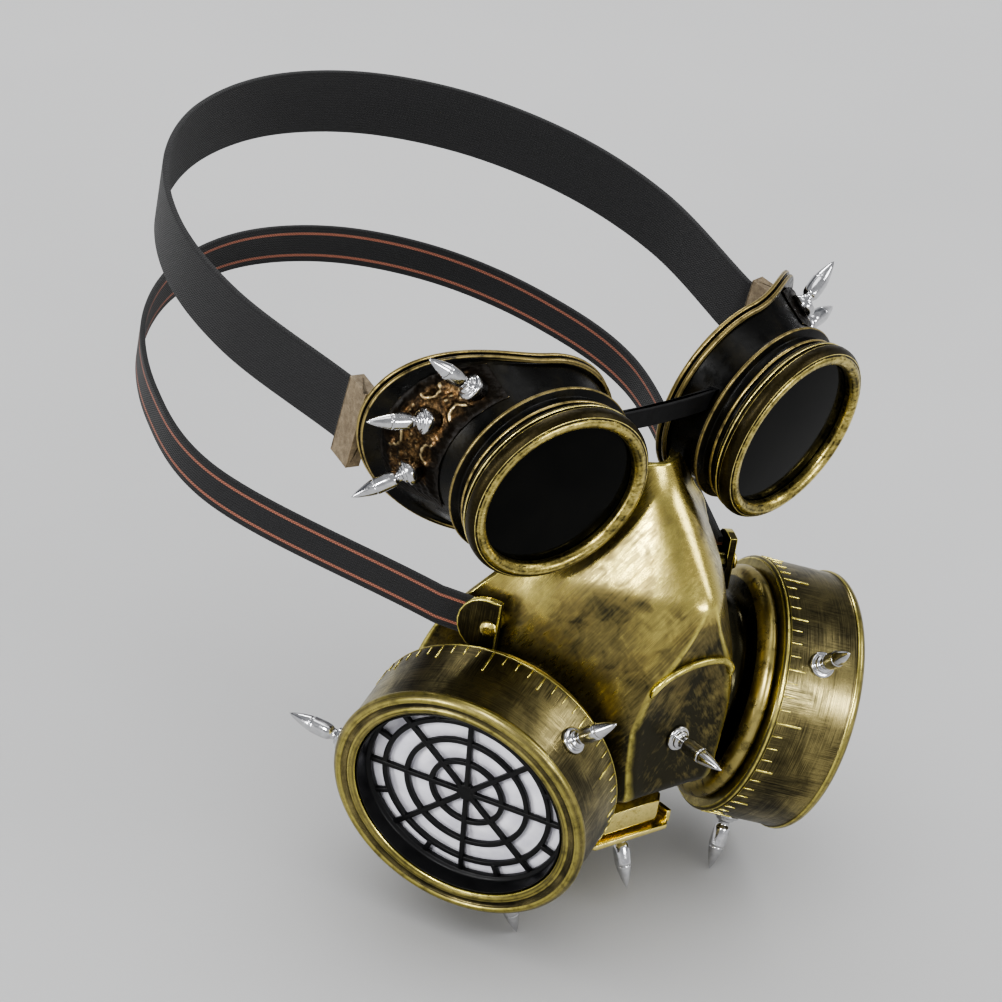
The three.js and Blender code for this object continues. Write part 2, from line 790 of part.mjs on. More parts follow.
/** The half round tab that stands off the cheek on a post, with the strap's end behind it */
function earTab(side) {
  const round = arcPoints(EAR.radius, -Math.PI / 2, Math.PI / 2, EAR.sides);
  const outline = [
    new THREE.Vector2(-EAR.radius, side * EAR.straight),
    ...round.map((point) => new THREE.Vector2(point.y, -side * point.x)),
    new THREE.Vector2(EAR.radius, side * EAR.straight),
  ];
  const tab = new THREE.ExtrudeGeometry(new THREE.Shape(outline), {
    depth: EAR.thickness,
    bevelEnabled: false,
  });
  const postLength = earStand + EAR.thickness / 2 + EAR.sunk;
  const post = new THREE.CylinderGeometry(EAR.postRadius, EAR.postRadius, postLength, EAR.sides);
  post.rotateX(Math.PI / 2).translate(0, side * EAR.postInset, postLength / 2 - EAR.sunk);
  return geometryOf(solidOf(tab.translate(0, 0, earStand)).add(solidOf(post)));
}

/** The domed rivet head on the tab */
function earRivet() {
  return turned([
    [0, 0],
    [EAR.rivetRadius, 0],
    [EAR.rivetRadius * EAR.rivetDraft, EAR.rivetHeight * EAR.rivetShoulder],
    [EAR.rivetRadius * EAR.rivetCrown, EAR.rivetHeight],
    [0, EAR.rivetHeight],
  ], EAR.sides);
}

/** A frame on the cup's rear rim at the temple, with +Z towards the back of the head and +Y up */
function buckleSeat(side) {
  const angle = degrees(BUCKLE.turn);
  const rim = cupPoint(side, angle, 1, 0);
  const foot = rim.clone().setZ(rim.z - GAP);
  foot.x += side * (CUP.rimLip - BUCKLE.inset);
  return frameAlong(foot, new THREE.Vector3(0, 0, -1), new THREE.Vector3(-1, 0, 0));
}

/** The flat socket that takes the end of the eyepieces' strap */
function buckleSocket() {
  const { height, thickness, depth, pocket } = BUCKLE;
  const body = new THREE.BoxGeometry(thickness, height, depth).translate(0, 0, depth / 2);
  const slot = new THREE.BoxGeometry(GOGGLE_STRAP.thickness + GAP * 2, GOGGLE_STRAP.width + GAP * 2, pocket);
  slot.translate(0, 0, depth - pocket / 2 + GAP);
  return geometryOf(solidOf(body).subtract(solidOf(slot)));
}

/** The block under the chin with its slot and lower lip */
function outletBlock() {
  const { faceHalfWidth, faceReach, faceHeight, slotHeight, lipHeight, depth, corner } = OUTLET;
  const slab = (halfWidth, reach, bottom, height) => {
    const outline = new THREE.Shape([
      new THREE.Vector2(-halfWidth, -reach + corner),
      new THREE.Vector2(-halfWidth + corner, -reach),
      new THREE.Vector2(halfWidth - corner, -reach),
      new THREE.Vector2(halfWidth, -reach + corner),
      new THREE.Vector2(halfWidth, -reach + depth),
      new THREE.Vector2(-halfWidth, -reach + depth),
    ]);
    const block = new THREE.ExtrudeGeometry(outline, { depth: height, bevelEnabled: false });
    return solidOf(block.translate(0, 0, bottom));
  };
  const faceBottom = -outletTop - faceHeight;
  const lipBottom = faceBottom - slotHeight - lipHeight;
  const face = slab(faceHalfWidth, faceReach, faceBottom, faceHeight);
  const coreHeight = lipHeight + slotHeight + OUTLET.overlap;
  const core = slab(faceHalfWidth - corner, faceReach - OUTLET.slotDepth, lipBottom, coreHeight);
  const lip = slab(OUTLET.lipHalfWidth, faceReach + OUTLET.lipOverhang, lipBottom, lipHeight);
  return geometryOf(face.add(core).add(lip));
}

/** The narrow band that joins the eyepieces over the nose */
function nosePiece() {
  const half = eyeOffset - CUP.barrelRadius + BRIDGE.overlap;
  const rings = Array.from({ length: BRIDGE.steps + 1 }, (_, i) => {
    const across = (i / BRIDGE.steps) * 2 - 1;
    const y = BRIDGE.reach - BRIDGE.bow * (1 - across ** 2);
    const corner = (out, up) => new THREE.Vector3(
      across * half,
      y - (out * BRIDGE.thickness) / 2,
      BRIDGE.lift + EYE.rise + (up * BRIDGE.height) / 2,
    );
    return [corner(1, -1), corner(1, 1), corner(-1, 1), corner(-1, -1)];
  });
  return loft(rings);
}

// Assembly
const mask = new THREE.Group();
const shellSeat = shellSpace(GAP);
let shell = shellWall().add(solidOf(archMoulding()));
let bridge = solidOf(nosePiece());

for (const [label, side] of [['right', -1], ['left', 1]]) {
  // Eyepiece
  const eye = placedGroup(eyeSeat(side));
  eye.add(piece(`eyecup_${label}`, cupWall(side), BLACK_PLASTIC));
  eye.add(piece(`eye_bezel_${label}`, bezelRing(), BRIGHT_BRASS));
  eye.add(piece(`lens_${label}`, lensDisc(), DARK_GLASS));
  eye.add(piece(`vent_panel_${label}`, ventPanel(side), ANTIQUE_BRASS));

  const studSeat = cupSpace(side, GOGGLE_SPIKE_SEAT.lift);
  GOGGLE_SPIKES.forEach(({ foot, lean }, i) => {
    const root = cupPoint(side, degrees(foot), GOGGLE_SPIKE_SEAT.share, GOGGLE_SPIKE_SEAT.lift);
    const tip = cupRingPoint(side, degrees(lean), 1, Math.tan(degrees(GOGGLE_SPIKE_SEAT.sweep)));
    const placement = frameAlong(root, tip, new THREE.Vector3(0, 0, 1));
    const stud = seatOn(spike(SPIKE.length), placement, studSeat);
    eye.add(piece(`goggle_spike_${label}_${i + 1}`, stud, CHROME, placement));
  });
  mask.add(eye);
  shell = shell.subtract(eyeSpace(side));
  bridge = bridge.subtract(eyeSpace(side));

  // Canister
  const axis = facing(side, CANISTER.splay, CANISTER.pitch);
  const drumFrame = frameAlong(
    new THREE.Vector3(side * drumOffset, -CANISTER.backReach, -drumDrop),
    axis,
    new THREE.Vector3(0, 0, 1),
  );
  const drum = placedGroup(drumFrame);
  drum.add(piece(`canister_body_${label}`, canisterBody(), ANTIQUE_BRASS));
  const grill = piece(`canister_grill_${label}`, grillPlate(), BLACK_PLASTIC);
  grill.position.z = grillFront - GRILL.thickness;
  drum.add(grill);
  const padLength = grillFront - GRILL.thickness - CANISTER.floor - GAP * 2;
  const pad = new THREE.CylinderGeometry(drumBore - GAP, drumBore - GAP, padLength, CANISTER.sides);
  pad.rotateX(Math.PI / 2);
  const filter = piece(`filter_disc_${label}`, pad, FILTER_WHITE);
  filter.position.z = CANISTER.floor + GAP + padLength / 2;
  drum.add(filter);
  drum.add(piece(`collar_${label}`, seatOn(collarRing(), drumFrame, shellSeat), BLACK_PLASTIC));

  const drumSeat = canisterSpace();
  CANISTER_SPIKES.forEach(({ turn, along }, i) => {
    const angle = side * degrees(turn);
    const outward = new THREE.Vector3(Math.cos(angle), Math.sin(angle), 0);
    const foot = outward.clone().multiplyScalar(CANISTER.radius + GAP).setZ(along);
    const placement = frameAlong(foot, outward, new THREE.Vector3(0, 0, 1));
    const stud = seatOn(spike(SPIKE.length), placement, drumSeat);
    drum.add(piece(`canister_spike_${label}_${i + 1}`, stud, CHROME, placement));
  });
  mask.add(drum);

  // Strap ear with its rivet
  const earFrame = earSeat(side);
  mask.add(piece(`strap_ear_${label}`, seatOn(earTab(side), earFrame, shellSeat), ANTIQUE_BRASS, earFrame));
  const rivet = piece(`ear_rivet_${label}`, earRivet(), BRIGHT_BRASS);
  rivet.applyMatrix4(earFrame.clone().multiply(new THREE.Matrix4().makeTranslation(
    0, side * EAR.postInset, earStand + EAR.thickness + GAP,
  )));
  mask.add(rivet);

  // Socket for the eyepieces' strap
  const socket = seatOn(buckleSocket(), buckleSeat(side), cupSpace(side, GAP));
  eye.add(piece(`strap_socket_${label}`, socket, TAN_LEATHER, buckleSeat(side)));
}

mask.add(piece('goggle_bridge', geometryOf(bridge), BLACK_PLASTIC));

// Straps
const earStart = new THREE.Matrix4().makeBasis(
  new THREE.Vector3(0, 0, 1),
  new THREE.Vector3(1, 0, 0),
  new THREE.Vector3(0, -1, 0),
).setPosition(0, EAR.postInset - EAR.postRadius - GAP * 2, earStand - GAP - MASK_STRAP.thickness / 2);
mask.add(piece('mask_strap', headBand(MASK_STRAP, earSeat(1).multiply(earStart)), BLACK_ELASTIC));

const socketStart = new THREE.Matrix4().makeTranslation(0, 0, BUCKLE.depth - BUCKLE.pocket + GAP * 2);
const socketEnd = eyeSeat(1).multiply(buckleSeat(1)).multiply(socketStart);
mask.add(piece('goggle_strap', headBand(GOGGLE_STRAP, socketEnd), BLACK_ELASTIC));

// Outlet and studs under the chin
const outlet = solidOf(outletBlock()).subtract(shellSeat);
mask.add(piece('chin_outlet', geometryOf(outlet), ANTIQUE_BRASS));

const chinDrop = CHIN_STUD.dropShare * SHELL.height;
const chinFoot = new THREE.Vector3(0, frontAt(chinDrop) - GAP, -chinDrop);
const chinFrame = frameAlong(chinFoot, new THREE.Vector3(0, -1, 0), new THREE.Vector3(1, 0, 0));
mask.add(piece('chin_spike', seatOn(spike(SPIKE.chinLength), chinFrame, shellSeat), CHROME, chinFrame));

const outletBottom = outletTop + OUTLET.faceHeight + OUTLET.slotHeight + OUTLET.lipHeight;
const underFoot = new THREE.Vector3(0, -OUTLET.faceReach + CHIN_STUD.underSetback, -outletBottom - GAP);
const underTilt = degrees(CHIN_STUD.underTilt);
const underWay = new THREE.Vector3(0, -Math.sin(underTilt), -Math.cos(underTilt));
const underFrame = frameAlong(underFoot, underWay, new THREE.Vector3(1, 0, 0));
const underSeat = solidOf(new THREE.BoxGeometry(OUTLET.lipHalfWidth * 2, OUTLET.depth * 3, OUTLET.depth)
  .translate(0, 0, OUTLET.depth / 2 - outletBottom - GAP));
mask.add(piece('under_chin_spike', seatOn(spike(SPIKE.length), underFrame, underSeat), CHROME, underFrame));

mask.add(piece('mask_shell', geometryOf(shell), ANTIQUE_BRASS));

export default mask;
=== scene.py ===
"""Looks of the gas mask style costume mask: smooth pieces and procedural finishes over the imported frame."""
import math

import bpy
import bmesh
import numpy as np
from mathutils import Matrix, Vector
from mathutils.bvhtree import BVHTree


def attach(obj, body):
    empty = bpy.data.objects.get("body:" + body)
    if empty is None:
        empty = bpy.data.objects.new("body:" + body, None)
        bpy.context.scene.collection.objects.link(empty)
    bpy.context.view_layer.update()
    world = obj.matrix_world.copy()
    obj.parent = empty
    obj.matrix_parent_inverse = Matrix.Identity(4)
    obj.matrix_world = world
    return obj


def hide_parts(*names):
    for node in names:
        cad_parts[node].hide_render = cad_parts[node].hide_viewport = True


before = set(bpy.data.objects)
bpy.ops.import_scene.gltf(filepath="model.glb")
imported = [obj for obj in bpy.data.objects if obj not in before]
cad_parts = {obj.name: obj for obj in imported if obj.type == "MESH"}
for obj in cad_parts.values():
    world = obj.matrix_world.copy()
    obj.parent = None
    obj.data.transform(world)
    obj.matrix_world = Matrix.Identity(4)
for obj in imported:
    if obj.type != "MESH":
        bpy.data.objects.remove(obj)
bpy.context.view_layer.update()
MM = 0.001
GAP = 0.3
SIDES = (("right", -1), ("left", 1))


# Frames, all in millimetres

def facing(side, splay, pitch):
    """The direction splayed out from the front and pitched down, for one side of the face."""
    splay, pitch = math.radians(splay), math.radians(pitch)
    level = math.cos(pitch)
    return Vector((side * math.sin(splay) * level, -math.cos(splay) * level, -math.sin(pitch)))


def frame_along(position, direction, sideways):
    """A matrix whose +Z follows a direction, with +X as near as it can be to a second one."""
    z = Vector(direction).normalized()
    x = Vector(sideways)
    x = (x - z * x.dot(z)).normalized()
    y = z.cross(x)
    matrix = Matrix((x, y, z)).transposed().to_4x4()
    matrix.translation = Vector(position)
    return matrix


def eye_seat(side):
    return frame_along((side * 43.5, -10, 4), facing(side, 8.6, 7.6), (1, 0, 0))


def drum_seat(side):
    return frame_along((side * 43.5, -2.3, -82), facing(side, 63.1, 13), (0, 0, 1))


# Mesh helpers: every piece is made in its own frame in millimetres and keeps those as the attribute "local"

def grid_faces(rows, columns, wrap_rows=False, wrap_columns=False, start=0):
    faces = []
    for i in range(rows if wrap_rows else rows - 1):
        for j in range(columns if wrap_columns else columns - 1):
            a, b = i * columns, ((i + 1) % rows) * columns
            k = (j + 1) % columns
            faces.append((start + a + j, start + a + k, start + b + k, start + b + j))
    return faces


def edge_share(mesh):
    """How sharply the surface bends outward at each vertex, in 1/mm."""
    count = len(mesh.vertices)
    place = np.empty(count * 3, dtype=np.float64)
    mesh.vertices.foreach_get("co", place)
    place = place.reshape(-1, 3) / MM
    normal = np.empty(count * 3, dtype=np.float64)
    mesh.vertices.foreach_get("normal", normal)
    normal = normal.reshape(-1, 3)
    ends = np.empty(len(mesh.edges) * 2, dtype=np.int64)
    mesh.edges.foreach_get("vertices", ends)
    ends = ends.reshape(-1, 2)
    both = np.vstack([ends, ends[:, ::-1]])
    away = place[both[:, 0]] - place[both[:, 1]]
    far = np.maximum((away ** 2).sum(axis=1), 0.01)
    bend = np.maximum((away * normal[both[:, 0]]).sum(axis=1) / far, -0.5)
    total = np.bincount(both[:, 0], weights=bend, minlength=count)
    number = np.maximum(np.bincount(both[:, 0], minlength=count), 1)
    value = total / number * 2
    for _ in range(2):
        near = np.bincount(both[:, 0], weights=value[both[:, 1]], minlength=count) / number
        value = 0.5 * value + 0.5 * near
    return value


def finish_mesh(mesh, sharp):
    """Faces out, smooth but for corners sharper than an angle."""
    shape = bmesh.new()
    shape.from_mesh(mesh)
    bmesh.ops.remove_doubles(shape, verts=shape.verts, dist=1e-7)
    bmesh.ops.recalc_face_normals(shape, faces=shape.faces)
    shape.to_mesh(mesh)
    shape.free()
    mesh.shade_smooth()
    if sharp < 180:
        mesh.set_sharp_from_angle(angle=math.radians(sharp))


PIECES = []


def piece(name, parts, finish, replaces=(), placement=None, sharp=180, bright=None, tone=None):
    """One piece from (points, faces) parts. It rides on the root body."""
    points, faces = [], []
    for some_points, some_faces in parts:
        start = len(points)
        points.extend(Vector(p) for p in some_points)
        faces.extend(tuple(start + i for i in face) for face in some_faces)
    mesh = bpy.data.meshes.new(name)
    mesh.from_pydata([p * MM for p in points], [], faces)
    finish_mesh(mesh, sharp)
    local = np.empty(len(mesh.vertices) * 3, dtype=np.float32)
    mesh.vertices.foreach_get("co", local)
    stored = mesh.attributes.new("local", "FLOAT_VECTOR", "POINT")
    stored.data.foreach_set("vector", local / MM)
    edge = edge_share(mesh)
    if bright is not None:
        edge = edge + np.array([bright(v.co / MM) for v in mesh.vertices])
    if tone is not None:
        toned = mesh.attributes.new("tone", "FLOAT", "POINT")
        toned.data.foreach_set("value", [tone(v.co / MM) for v in mesh.vertices])
    bright_edge = mesh.attributes.new("edge", "FLOAT", "POINT")
    bright_edge.data.foreach_set("value", edge.astype(np.float32))
    if placement is not None:
        matrix = placement.copy()
        matrix.translation = placement.translation * MM
        mesh.transform(matrix)
    made = bpy.data.objects.new(name, mesh)
    bpy.context.scene.collection.objects.link(made)
    made.data.materials.append(finish)
    PIECES.append(made)
    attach(made, "root")
    if replaces:
        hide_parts(*replaces)
    return made


def rounded(points, radius=0.4, steps=4, closed=False):
    """A polyline with its corners rounded. A point may carry its own radius as a third value."""
    out = []
    count = len(points)
    for i, point in enumerate(points):
        here = np.array(point[:2], dtype=float)
        size = point[2] if len(point) > 2 else radius
        if size <= 0 or (not closed and i in (0, count - 1)):
            out.append(tuple(here))
            continue
        before = np.array(points[i - 1][:2], dtype=float)
        after = np.array(points[(i + 1) % count][:2], dtype=float)
        back, ahead = before - here, after - here
        reach_back = min(size, 0.48 * np.linalg.norm(back))
        reach_ahead = min(size, 0.48 * np.linalg.norm(ahead))
        start = here + back / np.linalg.norm(back) * reach_back
        end = here + ahead / np.linalg.norm(ahead) * reach_ahead
        for k in range(steps + 1):
            t = k / steps
            out.append(tuple((1 - t) ** 2 * start + 2 * t * (1 - t) * here + t * t * end))
    return out


def turned(profile, sides=128, closed=False):
    """A solid turned about +Z from (radius, height) points. An open profile starts and ends on the axis."""
    points, faces, rings = [], [], []
    for radius, height in profile:
        if radius < 1e-6:
            rings.append([len(points)])
            points.append((0, 0, height))
            continue
        rings.append(list(range(len(points), len(points) + sides)))
        for k in range(sides):
            turn = 2 * math.pi * k / sides
            points.append((radius * math.cos(turn), radius * math.sin(turn), height))
    pairs = list(zip(rings, rings[1:]))
    if closed:
        pairs.append((rings[-1], rings[0]))
    for low, high in pairs:
        for k in range(sides):
            j = (k + 1) % sides
            if len(low) == 1 and len(high) > 1:
                faces.append((low[0], high[j], high[k]))
            elif len(high) == 1 and len(low) > 1:
                faces.append((low[k], low[j], high[0]))
            elif len(low) > 1:
                faces.append((low[k], low[j], high[j], high[k]))
    return points, faces


def tube(path, radius, sides=10, closed=False):
    """A round tube along points; its open ends are closed with a cap."""
    path = [Vector(p) for p in path]
    points = []
    count = len(path)
    up = Vector((0, 0, 1))
    for i, here in enumerate(path):
        if closed:
            along = path[(i + 1) % count] - path[i - 1]
        else:
            along = path[min(i + 1, count - 1)] - path[max(i - 1, 0)]
        along.normalize()
        side = along.cross(up)
        side = side.normalized() if side.length > 0.1 else along.orthogonal().normalized()
        top = side.cross(along)
        size = radius(i / (count - 1)) if callable(radius) else radius
        for k in range(sides):
            turn = 2 * math.pi * k / sides
            points.append(here + side * (size * math.cos(turn)) + top * (size * math.sin(turn)))
    faces = grid_faces(count, sides, wrap_rows=closed, wrap_columns=True)
    if not closed:
        faces.append(tuple(range(sides)))
        faces.append(tuple(range((count - 1) * sides, count * sides)))
    return points, faces


def block(size, radius, placement=None, segments=3):
    """A box with rounded edges, centred on its own origin."""
    shape = bmesh.new()
    bmesh.ops.create_cube(shape, size=1)
    bmesh.ops.scale(shape, vec=Vector(size), verts=shape.verts)
    bmesh.ops.bevel(shape, geom=shape.edges[:], offset=radius, segments=segments, profile=0.5, affect="EDGES")
    if placement is not None:
        bmesh.ops.transform(shape, matrix=placement, verts=shape.verts)
    shape.verts.index_update()
    points = [v.co.copy() for v in shape.verts]
    faces = [tuple(v.index for v in face.verts) for face in shape.faces]
    shape.free()
    return points, faces


def softened(node, radius, segments=3, angle=25):
    """A CAD node's shape in millimetres with its corners rounded."""
    shape = bmesh.new()
    shape.from_mesh(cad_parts[node].data)
    bmesh.ops.remove_doubles(shape, verts=shape.verts, dist=1e-6)
    bmesh.ops.scale(shape, vec=(1 / MM, 1 / MM, 1 / MM), verts=shape.verts)
    bmesh.ops.dissolve_limit(shape, angle_limit=math.radians(2), verts=shape.verts, edges=shape.edges)
    corners = [e for e in shape.edges if len(e.link_faces) == 2 and e.calc_face_angle(0) > math.radians(angle)]
    bmesh.ops.bevel(shape, geom=corners, offset=radius, segments=segments, profile=0.5, affect="EDGES",
                    clamp_overlap=True)
    for inset in (0.25, 0.5, 0.5):
        broad = [face for face in shape.faces if face.calc_area() > 12 * radius]
        bmesh.ops.inset_individual(shape, faces=broad, thickness=inset)
    shape.verts.index_update()
    points = [v.co.copy() for v in shape.verts]
    faces = [tuple(v.index for v in face.verts) for face in shape.faces]
    shape.free()
    return points, faces


def surface_of(node):
    """A search tree of a CAD node, in millimetres."""
    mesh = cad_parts[node].data
    return BVHTree.FromPolygons([v.co / MM for v in mesh.vertices], [tuple(p.vertices) for p in mesh.polygons])


# Materials

class Finish:
    """A procedural material built round one Principled shader, with coordinates in millimetres."""

    def __init__(self, name, coordinates="local"):
        self.material = bpy.data.materials.new(name)
        self.material.use_nodes = True
        self.tree = self.material.node_tree
        self.shader = next(n for n in self.tree.nodes if n.type == "BSDF_PRINCIPLED")
        self.place = self.node("ShaderNodeAttribute", attribute_name=coordinates).outputs["Vector"]

    def node(self, kind, inputs=(), **settings):
        made = self.tree.nodes.new(kind)
        for key, value in settings.items():
            setattr(made, key, value)
        for key, value in dict(inputs).items():
            if isinstance(value, bpy.types.NodeSocket):
                self.tree.links.new(value, made.inputs[key])
            else:
                made.inputs[key].default_value = value
        return made

    def turned_to(self, direction):
        """Coordinates whose first axis runs along a direction."""
        matrix = frame_along((0, 0, 0), direction, (0.3, 0.5, 0.8)).to_3x3()
        matrix = Matrix((matrix.col[2], matrix.col[0], matrix.col[1]))
        return self.node("ShaderNodeMapping", {"Vector": self.place, "Rotation": matrix.to_euler("XYZ")}).outputs[0]

    def scaled(self, scale, place=None):
        return self.node("ShaderNodeMapping", {"Vector": place or self.place, "Scale": scale}).outputs[0]

    def noise(self, scale, place=None, detail=4.0, rough=0.55, warp=0.0):
        vector = place or self.place
        size = scale
        if not isinstance(scale, (int, float)):
            vector = self.scaled(scale, vector)
            size = 1.0
        inputs = {"Vector": vector, "Scale": size, "Detail": detail, "Roughness": rough, "Distortion": warp}
        return self.node("ShaderNodeTexNoise", inputs).outputs["Fac"]

    def ramp(self, value, *stops):
        """A colour or grey ramp from (position, value) stops."""
        made = self.node("ShaderNodeValToRGB", {"Fac": value})
        marks = made.color_ramp.elements
        while len(marks) < len(stops):
            marks.new(0.5)
        for mark, (position, colour) in zip(marks, stops):
            mark.position = position
            mark.color = (*colour, 1) if isinstance(colour, tuple) else (colour, colour, colour, 1)
        return made.outputs["Color"]

    def math(self, operation, a, b=0.0, clamp=False):
        made = self.node("ShaderNodeMath", {0: a, 1: b}, operation=operation, use_clamp=clamp)
        return made.outputs[0]

    def mix(self, share, a, b, blend="MIX"):
        made = self.node("ShaderNodeMix", data_type="RGBA", blend_type=blend)
        for index, value in ((0, share), (6, a), (7, b)):
            if isinstance(value, bpy.types.NodeSocket):
                self.tree.links.new(value, made.inputs[index])
            else:
                made.inputs[index].default_value = (*value, 1) if isinstance(value, tuple) else value
        return made.outputs[2]

    def attribute(self, name):
        return self.node("ShaderNodeAttribute", attribute_name=name).outputs["Fac"]

    def set(self, name, value):
        socket = self.shader.inputs[name]
        if isinstance(value, bpy.types.NodeSocket):
            self.tree.links.new(value, socket)
        else:
            socket.default_value = (*value, 1) if isinstance(value, tuple) else value

    def bump(self, *layers):
        """Bump from (height, strength, depth in mm) layers, the first one lowest."""
        normal = None
        for height, strength, depth in layers:
            inputs = {"Height": height, "Strength": strength, "Distance": depth * MM}
            if normal is not None:
                inputs["Normal"] = normal
            normal = self.node("ShaderNodeBump", inputs).outputs["Normal"]
        self.set("Normal", normal)


def brushed_brass(name, strokes, tones, patch=0.055, roughness=(0.26, 0.46), stroke_depth=0.03, contrast=0.6,
                  speckle=0.5, brown=0.3, by_side=False, grain=5, spread=0.13):
    """Aged brass: brushed strokes, dark patina and gold patches, and corners rubbed bright. The tone attribute shifts
    the patches lighter or darker; on the shell that is painted highlight and painted shade.
    """
    made = Finish(name)
    dark, middle, light, bright_edge = tones
    layers = []
    for direction, along, across in strokes:
        place = made.turned_to(direction) if direction else made.place
        scale = (along, across, across) if direction else (along, along, across)
        layers.append(made.noise(scale, place, detail=5, rough=0.7))
    lines = layers[0]
    if by_side:
        across = made.node("ShaderNodeSeparateXYZ", {0: made.place}).outputs[0]
        lines = made.mix(made.math("ADD", made.math("MULTIPLY", across, 0.2), 0.5, clamp=True), layers[0], layers[1])
    elif len(layers) > 1:
        lines = made.mix(made.ramp(made.noise(0.07, detail=3), (0.44, 0.0), (0.56, 1.0)), layers[0], layers[1])
    grey = made.ramp(lines, (0.40, 0.0), (0.60, 1.0))
    clouds = made.mix(0.42, made.noise(patch, detail=grain, rough=0.6, warp=0.5),
                      made.noise(patch * 3.7, detail=grain, rough=0.6, warp=0.8))
    # Patina plus the tone attribute, which on the shell is painted highlight and painted shade.
    patina_and_painted_light = made.math("ADD", clouds, made.math("MULTIPLY", made.attribute("tone"), 0.2))
    patina_and_painted_light = made.math("ADD", patina_and_painted_light, made.math("MULTIPLY", made.math("SUBTRACT", lines, 0.5), contrast))
    colour = made.ramp(patina_and_painted_light, (0.51 - spread, dark), (0.51, middle), (0.51 + spread, light))
    tint = made.mix(made.ramp(made.noise(patch * 1.7, detail=4, warp=0.6), (0.46, 0.0), (0.6, 1.0)),
                    (1.0, 1.0, 1.0), (1.0, 0.78, 0.56))
    colour = made.mix(brown, colour, tint, "MULTIPLY")
    spots = made.ramp(made.noise(1.7, detail=3), (0.34, 0.45), (0.58, 1.0))
    colour = made.mix(speckle, colour, spots, "MULTIPLY")
    rubbed = made.math("MULTIPLY", made.ramp(made.attribute("edge"), (0.14, 0.0), (0.7, 1.0)),
                       made.ramp(made.noise(0.4, detail=5), (0.32, 0.35), (0.52, 1.0)), clamp=True)
    made.set("Base Color", made.mix(rubbed, colour, bright_edge))
    made.set("Metallic", made.ramp(patina_and_painted_light, (0.03, 0.0), (0.16, 0.82), (0.5, 1.0)))
    made.set("Specular IOR Level", 0.2)
    low, high = roughness
    matt = made.mix(0.45, made.ramp(patina_and_painted_light, (0.36, high + 0.1), (0.66, low)), made.ramp(grey, (0.0, high), (1.0, low)))
    made.set("Roughness", made.mix(rubbed, matt, (0.22,) * 3))
    made.bump((made.noise(0.12, detail=3), 0.25, 0.5), (lines, 0.6, stroke_depth), (made.noise(2.5, detail=2), 0.08, 0.02))
    return made.material


OLIVE = (0.034, 0.031, 0.018)
BRASS = (0.215, 0.176, 0.070)
GOLD = (0.560, 0.470, 0.150)
PALE_GOLD = (0.820, 0.710, 0.200)
RIGHT_STROKE = (0.553, -0.226, 0.803)
LEFT_STROKE = (-0.553, -0.226, 0.803)

shell_brass = brushed_brass("shell_brass", [(RIGHT_STROKE, 0.03, 1.2), (LEFT_STROKE, 0.03, 1.2)],
                            (OLIVE, BRASS, GOLD, PALE_GOLD), roughness=(0.22, 0.38), contrast=0.5, speckle=0.05,
                            brown=0.12, by_side=True, grain=2, spread=0.2)
drum_brass = brushed_brass("drum_brass", [(None, 0.03, 4.6), ((0, 0, 1), 0.08, 4.0)],
                           ((0.024, 0.021, 0.012), (0.112, 0.096, 0.046), (0.300, 0.256, 0.112), PALE_GOLD),
                           patch=0.025, roughness=(0.25, 0.4), contrast=0.7, speckle=0.2, brown=0.08)
trim_brass = brushed_brass("trim_brass", [((1, 0.2, 0), 0.4, 1.1)], ((0.030, 0.024, 0.010), (0.380, 0.310, 0.095),
                           (0.760, 0.640, 0.240), (0.92, 0.78, 0.29)), patch=0.14, roughness=(0.2, 0.4),
                           contrast=0.55, speckle=0.6, brown=0.08)
panel_brass = brushed_brass("panel_brass", [((0.2, 1, 0.4), 0.2, 0.9)], ((0.009, 0.007, 0.005), (0.040, 0.026, 0.014),
                            (0.200, 0.125, 0.058), (0.58, 0.45, 0.24)), patch=0.2, roughness=(0.22, 0.5),
                            contrast=0.25, speckle=0.6, brown=0.5)


def rubbed_black(name, black, gold, rough, start, full, metal=0.0, shine=0.4):
    """Glossy black with brass showing where its corners are rubbed, and on the collar where a painted highlight is laid
    round its crest.
    """
    made = Finish(name)
    mottle = made.noise(0.25, detail=5, rough=0.6)
    # This mask also carries the collar's painted highlight, which comes in through the edge attribute.
    bright_edge = made.math("MULTIPLY", made.ramp(made.attribute("edge"), (start, 0.0), (full, 1.0)),
                     made.ramp(mottle, (0.32, 0.15), (0.52, 1.0)), clamp=True)
    haze = made.ramp(made.noise(0.09, detail=5, warp=0.5), (0.48, 0.0), (0.8, 0.25))
    base = made.mix(haze, black, tuple(0.12 * v for v in gold))
    base = made.mix(0.5, base, made.ramp(made.noise(1.4, detail=3), (0.3, 0.5), (0.6, 1.0)), "MULTIPLY")
    made.set("Base Color", made.mix(bright_edge, base, gold))
    made.set("Metallic", made.math("MAXIMUM", bright_edge, metal) if metal else bright_edge)
    made.set("Specular IOR Level", shine)
    low, high = rough
    made.set("Roughness", made.mix(bright_edge, made.ramp(made.noise(0.3, detail=6), (0.35, low), (0.7, high)), (0.3,) * 3))
    made.bump((made.noise(0.15, detail=3), 0.2, 0.4), (made.noise(1.8, detail=4), 0.25, 0.03))
    return made.material


cup_black = rubbed_black("cup_black", (0.0030, 0.0029, 0.0025), (0.50, 0.39, 0.15), (0.2, 0.4), 0.4, 1.3, shine=0.15)
collar_black = rubbed_black("collar_black", (0.040, 0.036, 0.020), (0.46, 0.38, 0.14), (0.2, 0.32), 0.65, 2.6,
                            metal=0.94)
grill_black = rubbed_black("grill_black", (0.005, 0.005, 0.0055), (0.13, 0.12, 0.08), (0.3, 0.5), 1.4, 3.6, shine=0.25)
band_black = rubbed_black("band_black", (0.004, 0.004, 0.0045), (0.05, 0.045, 0.04), (0.45, 0.65), 6.0, 9.0, shine=0.2)


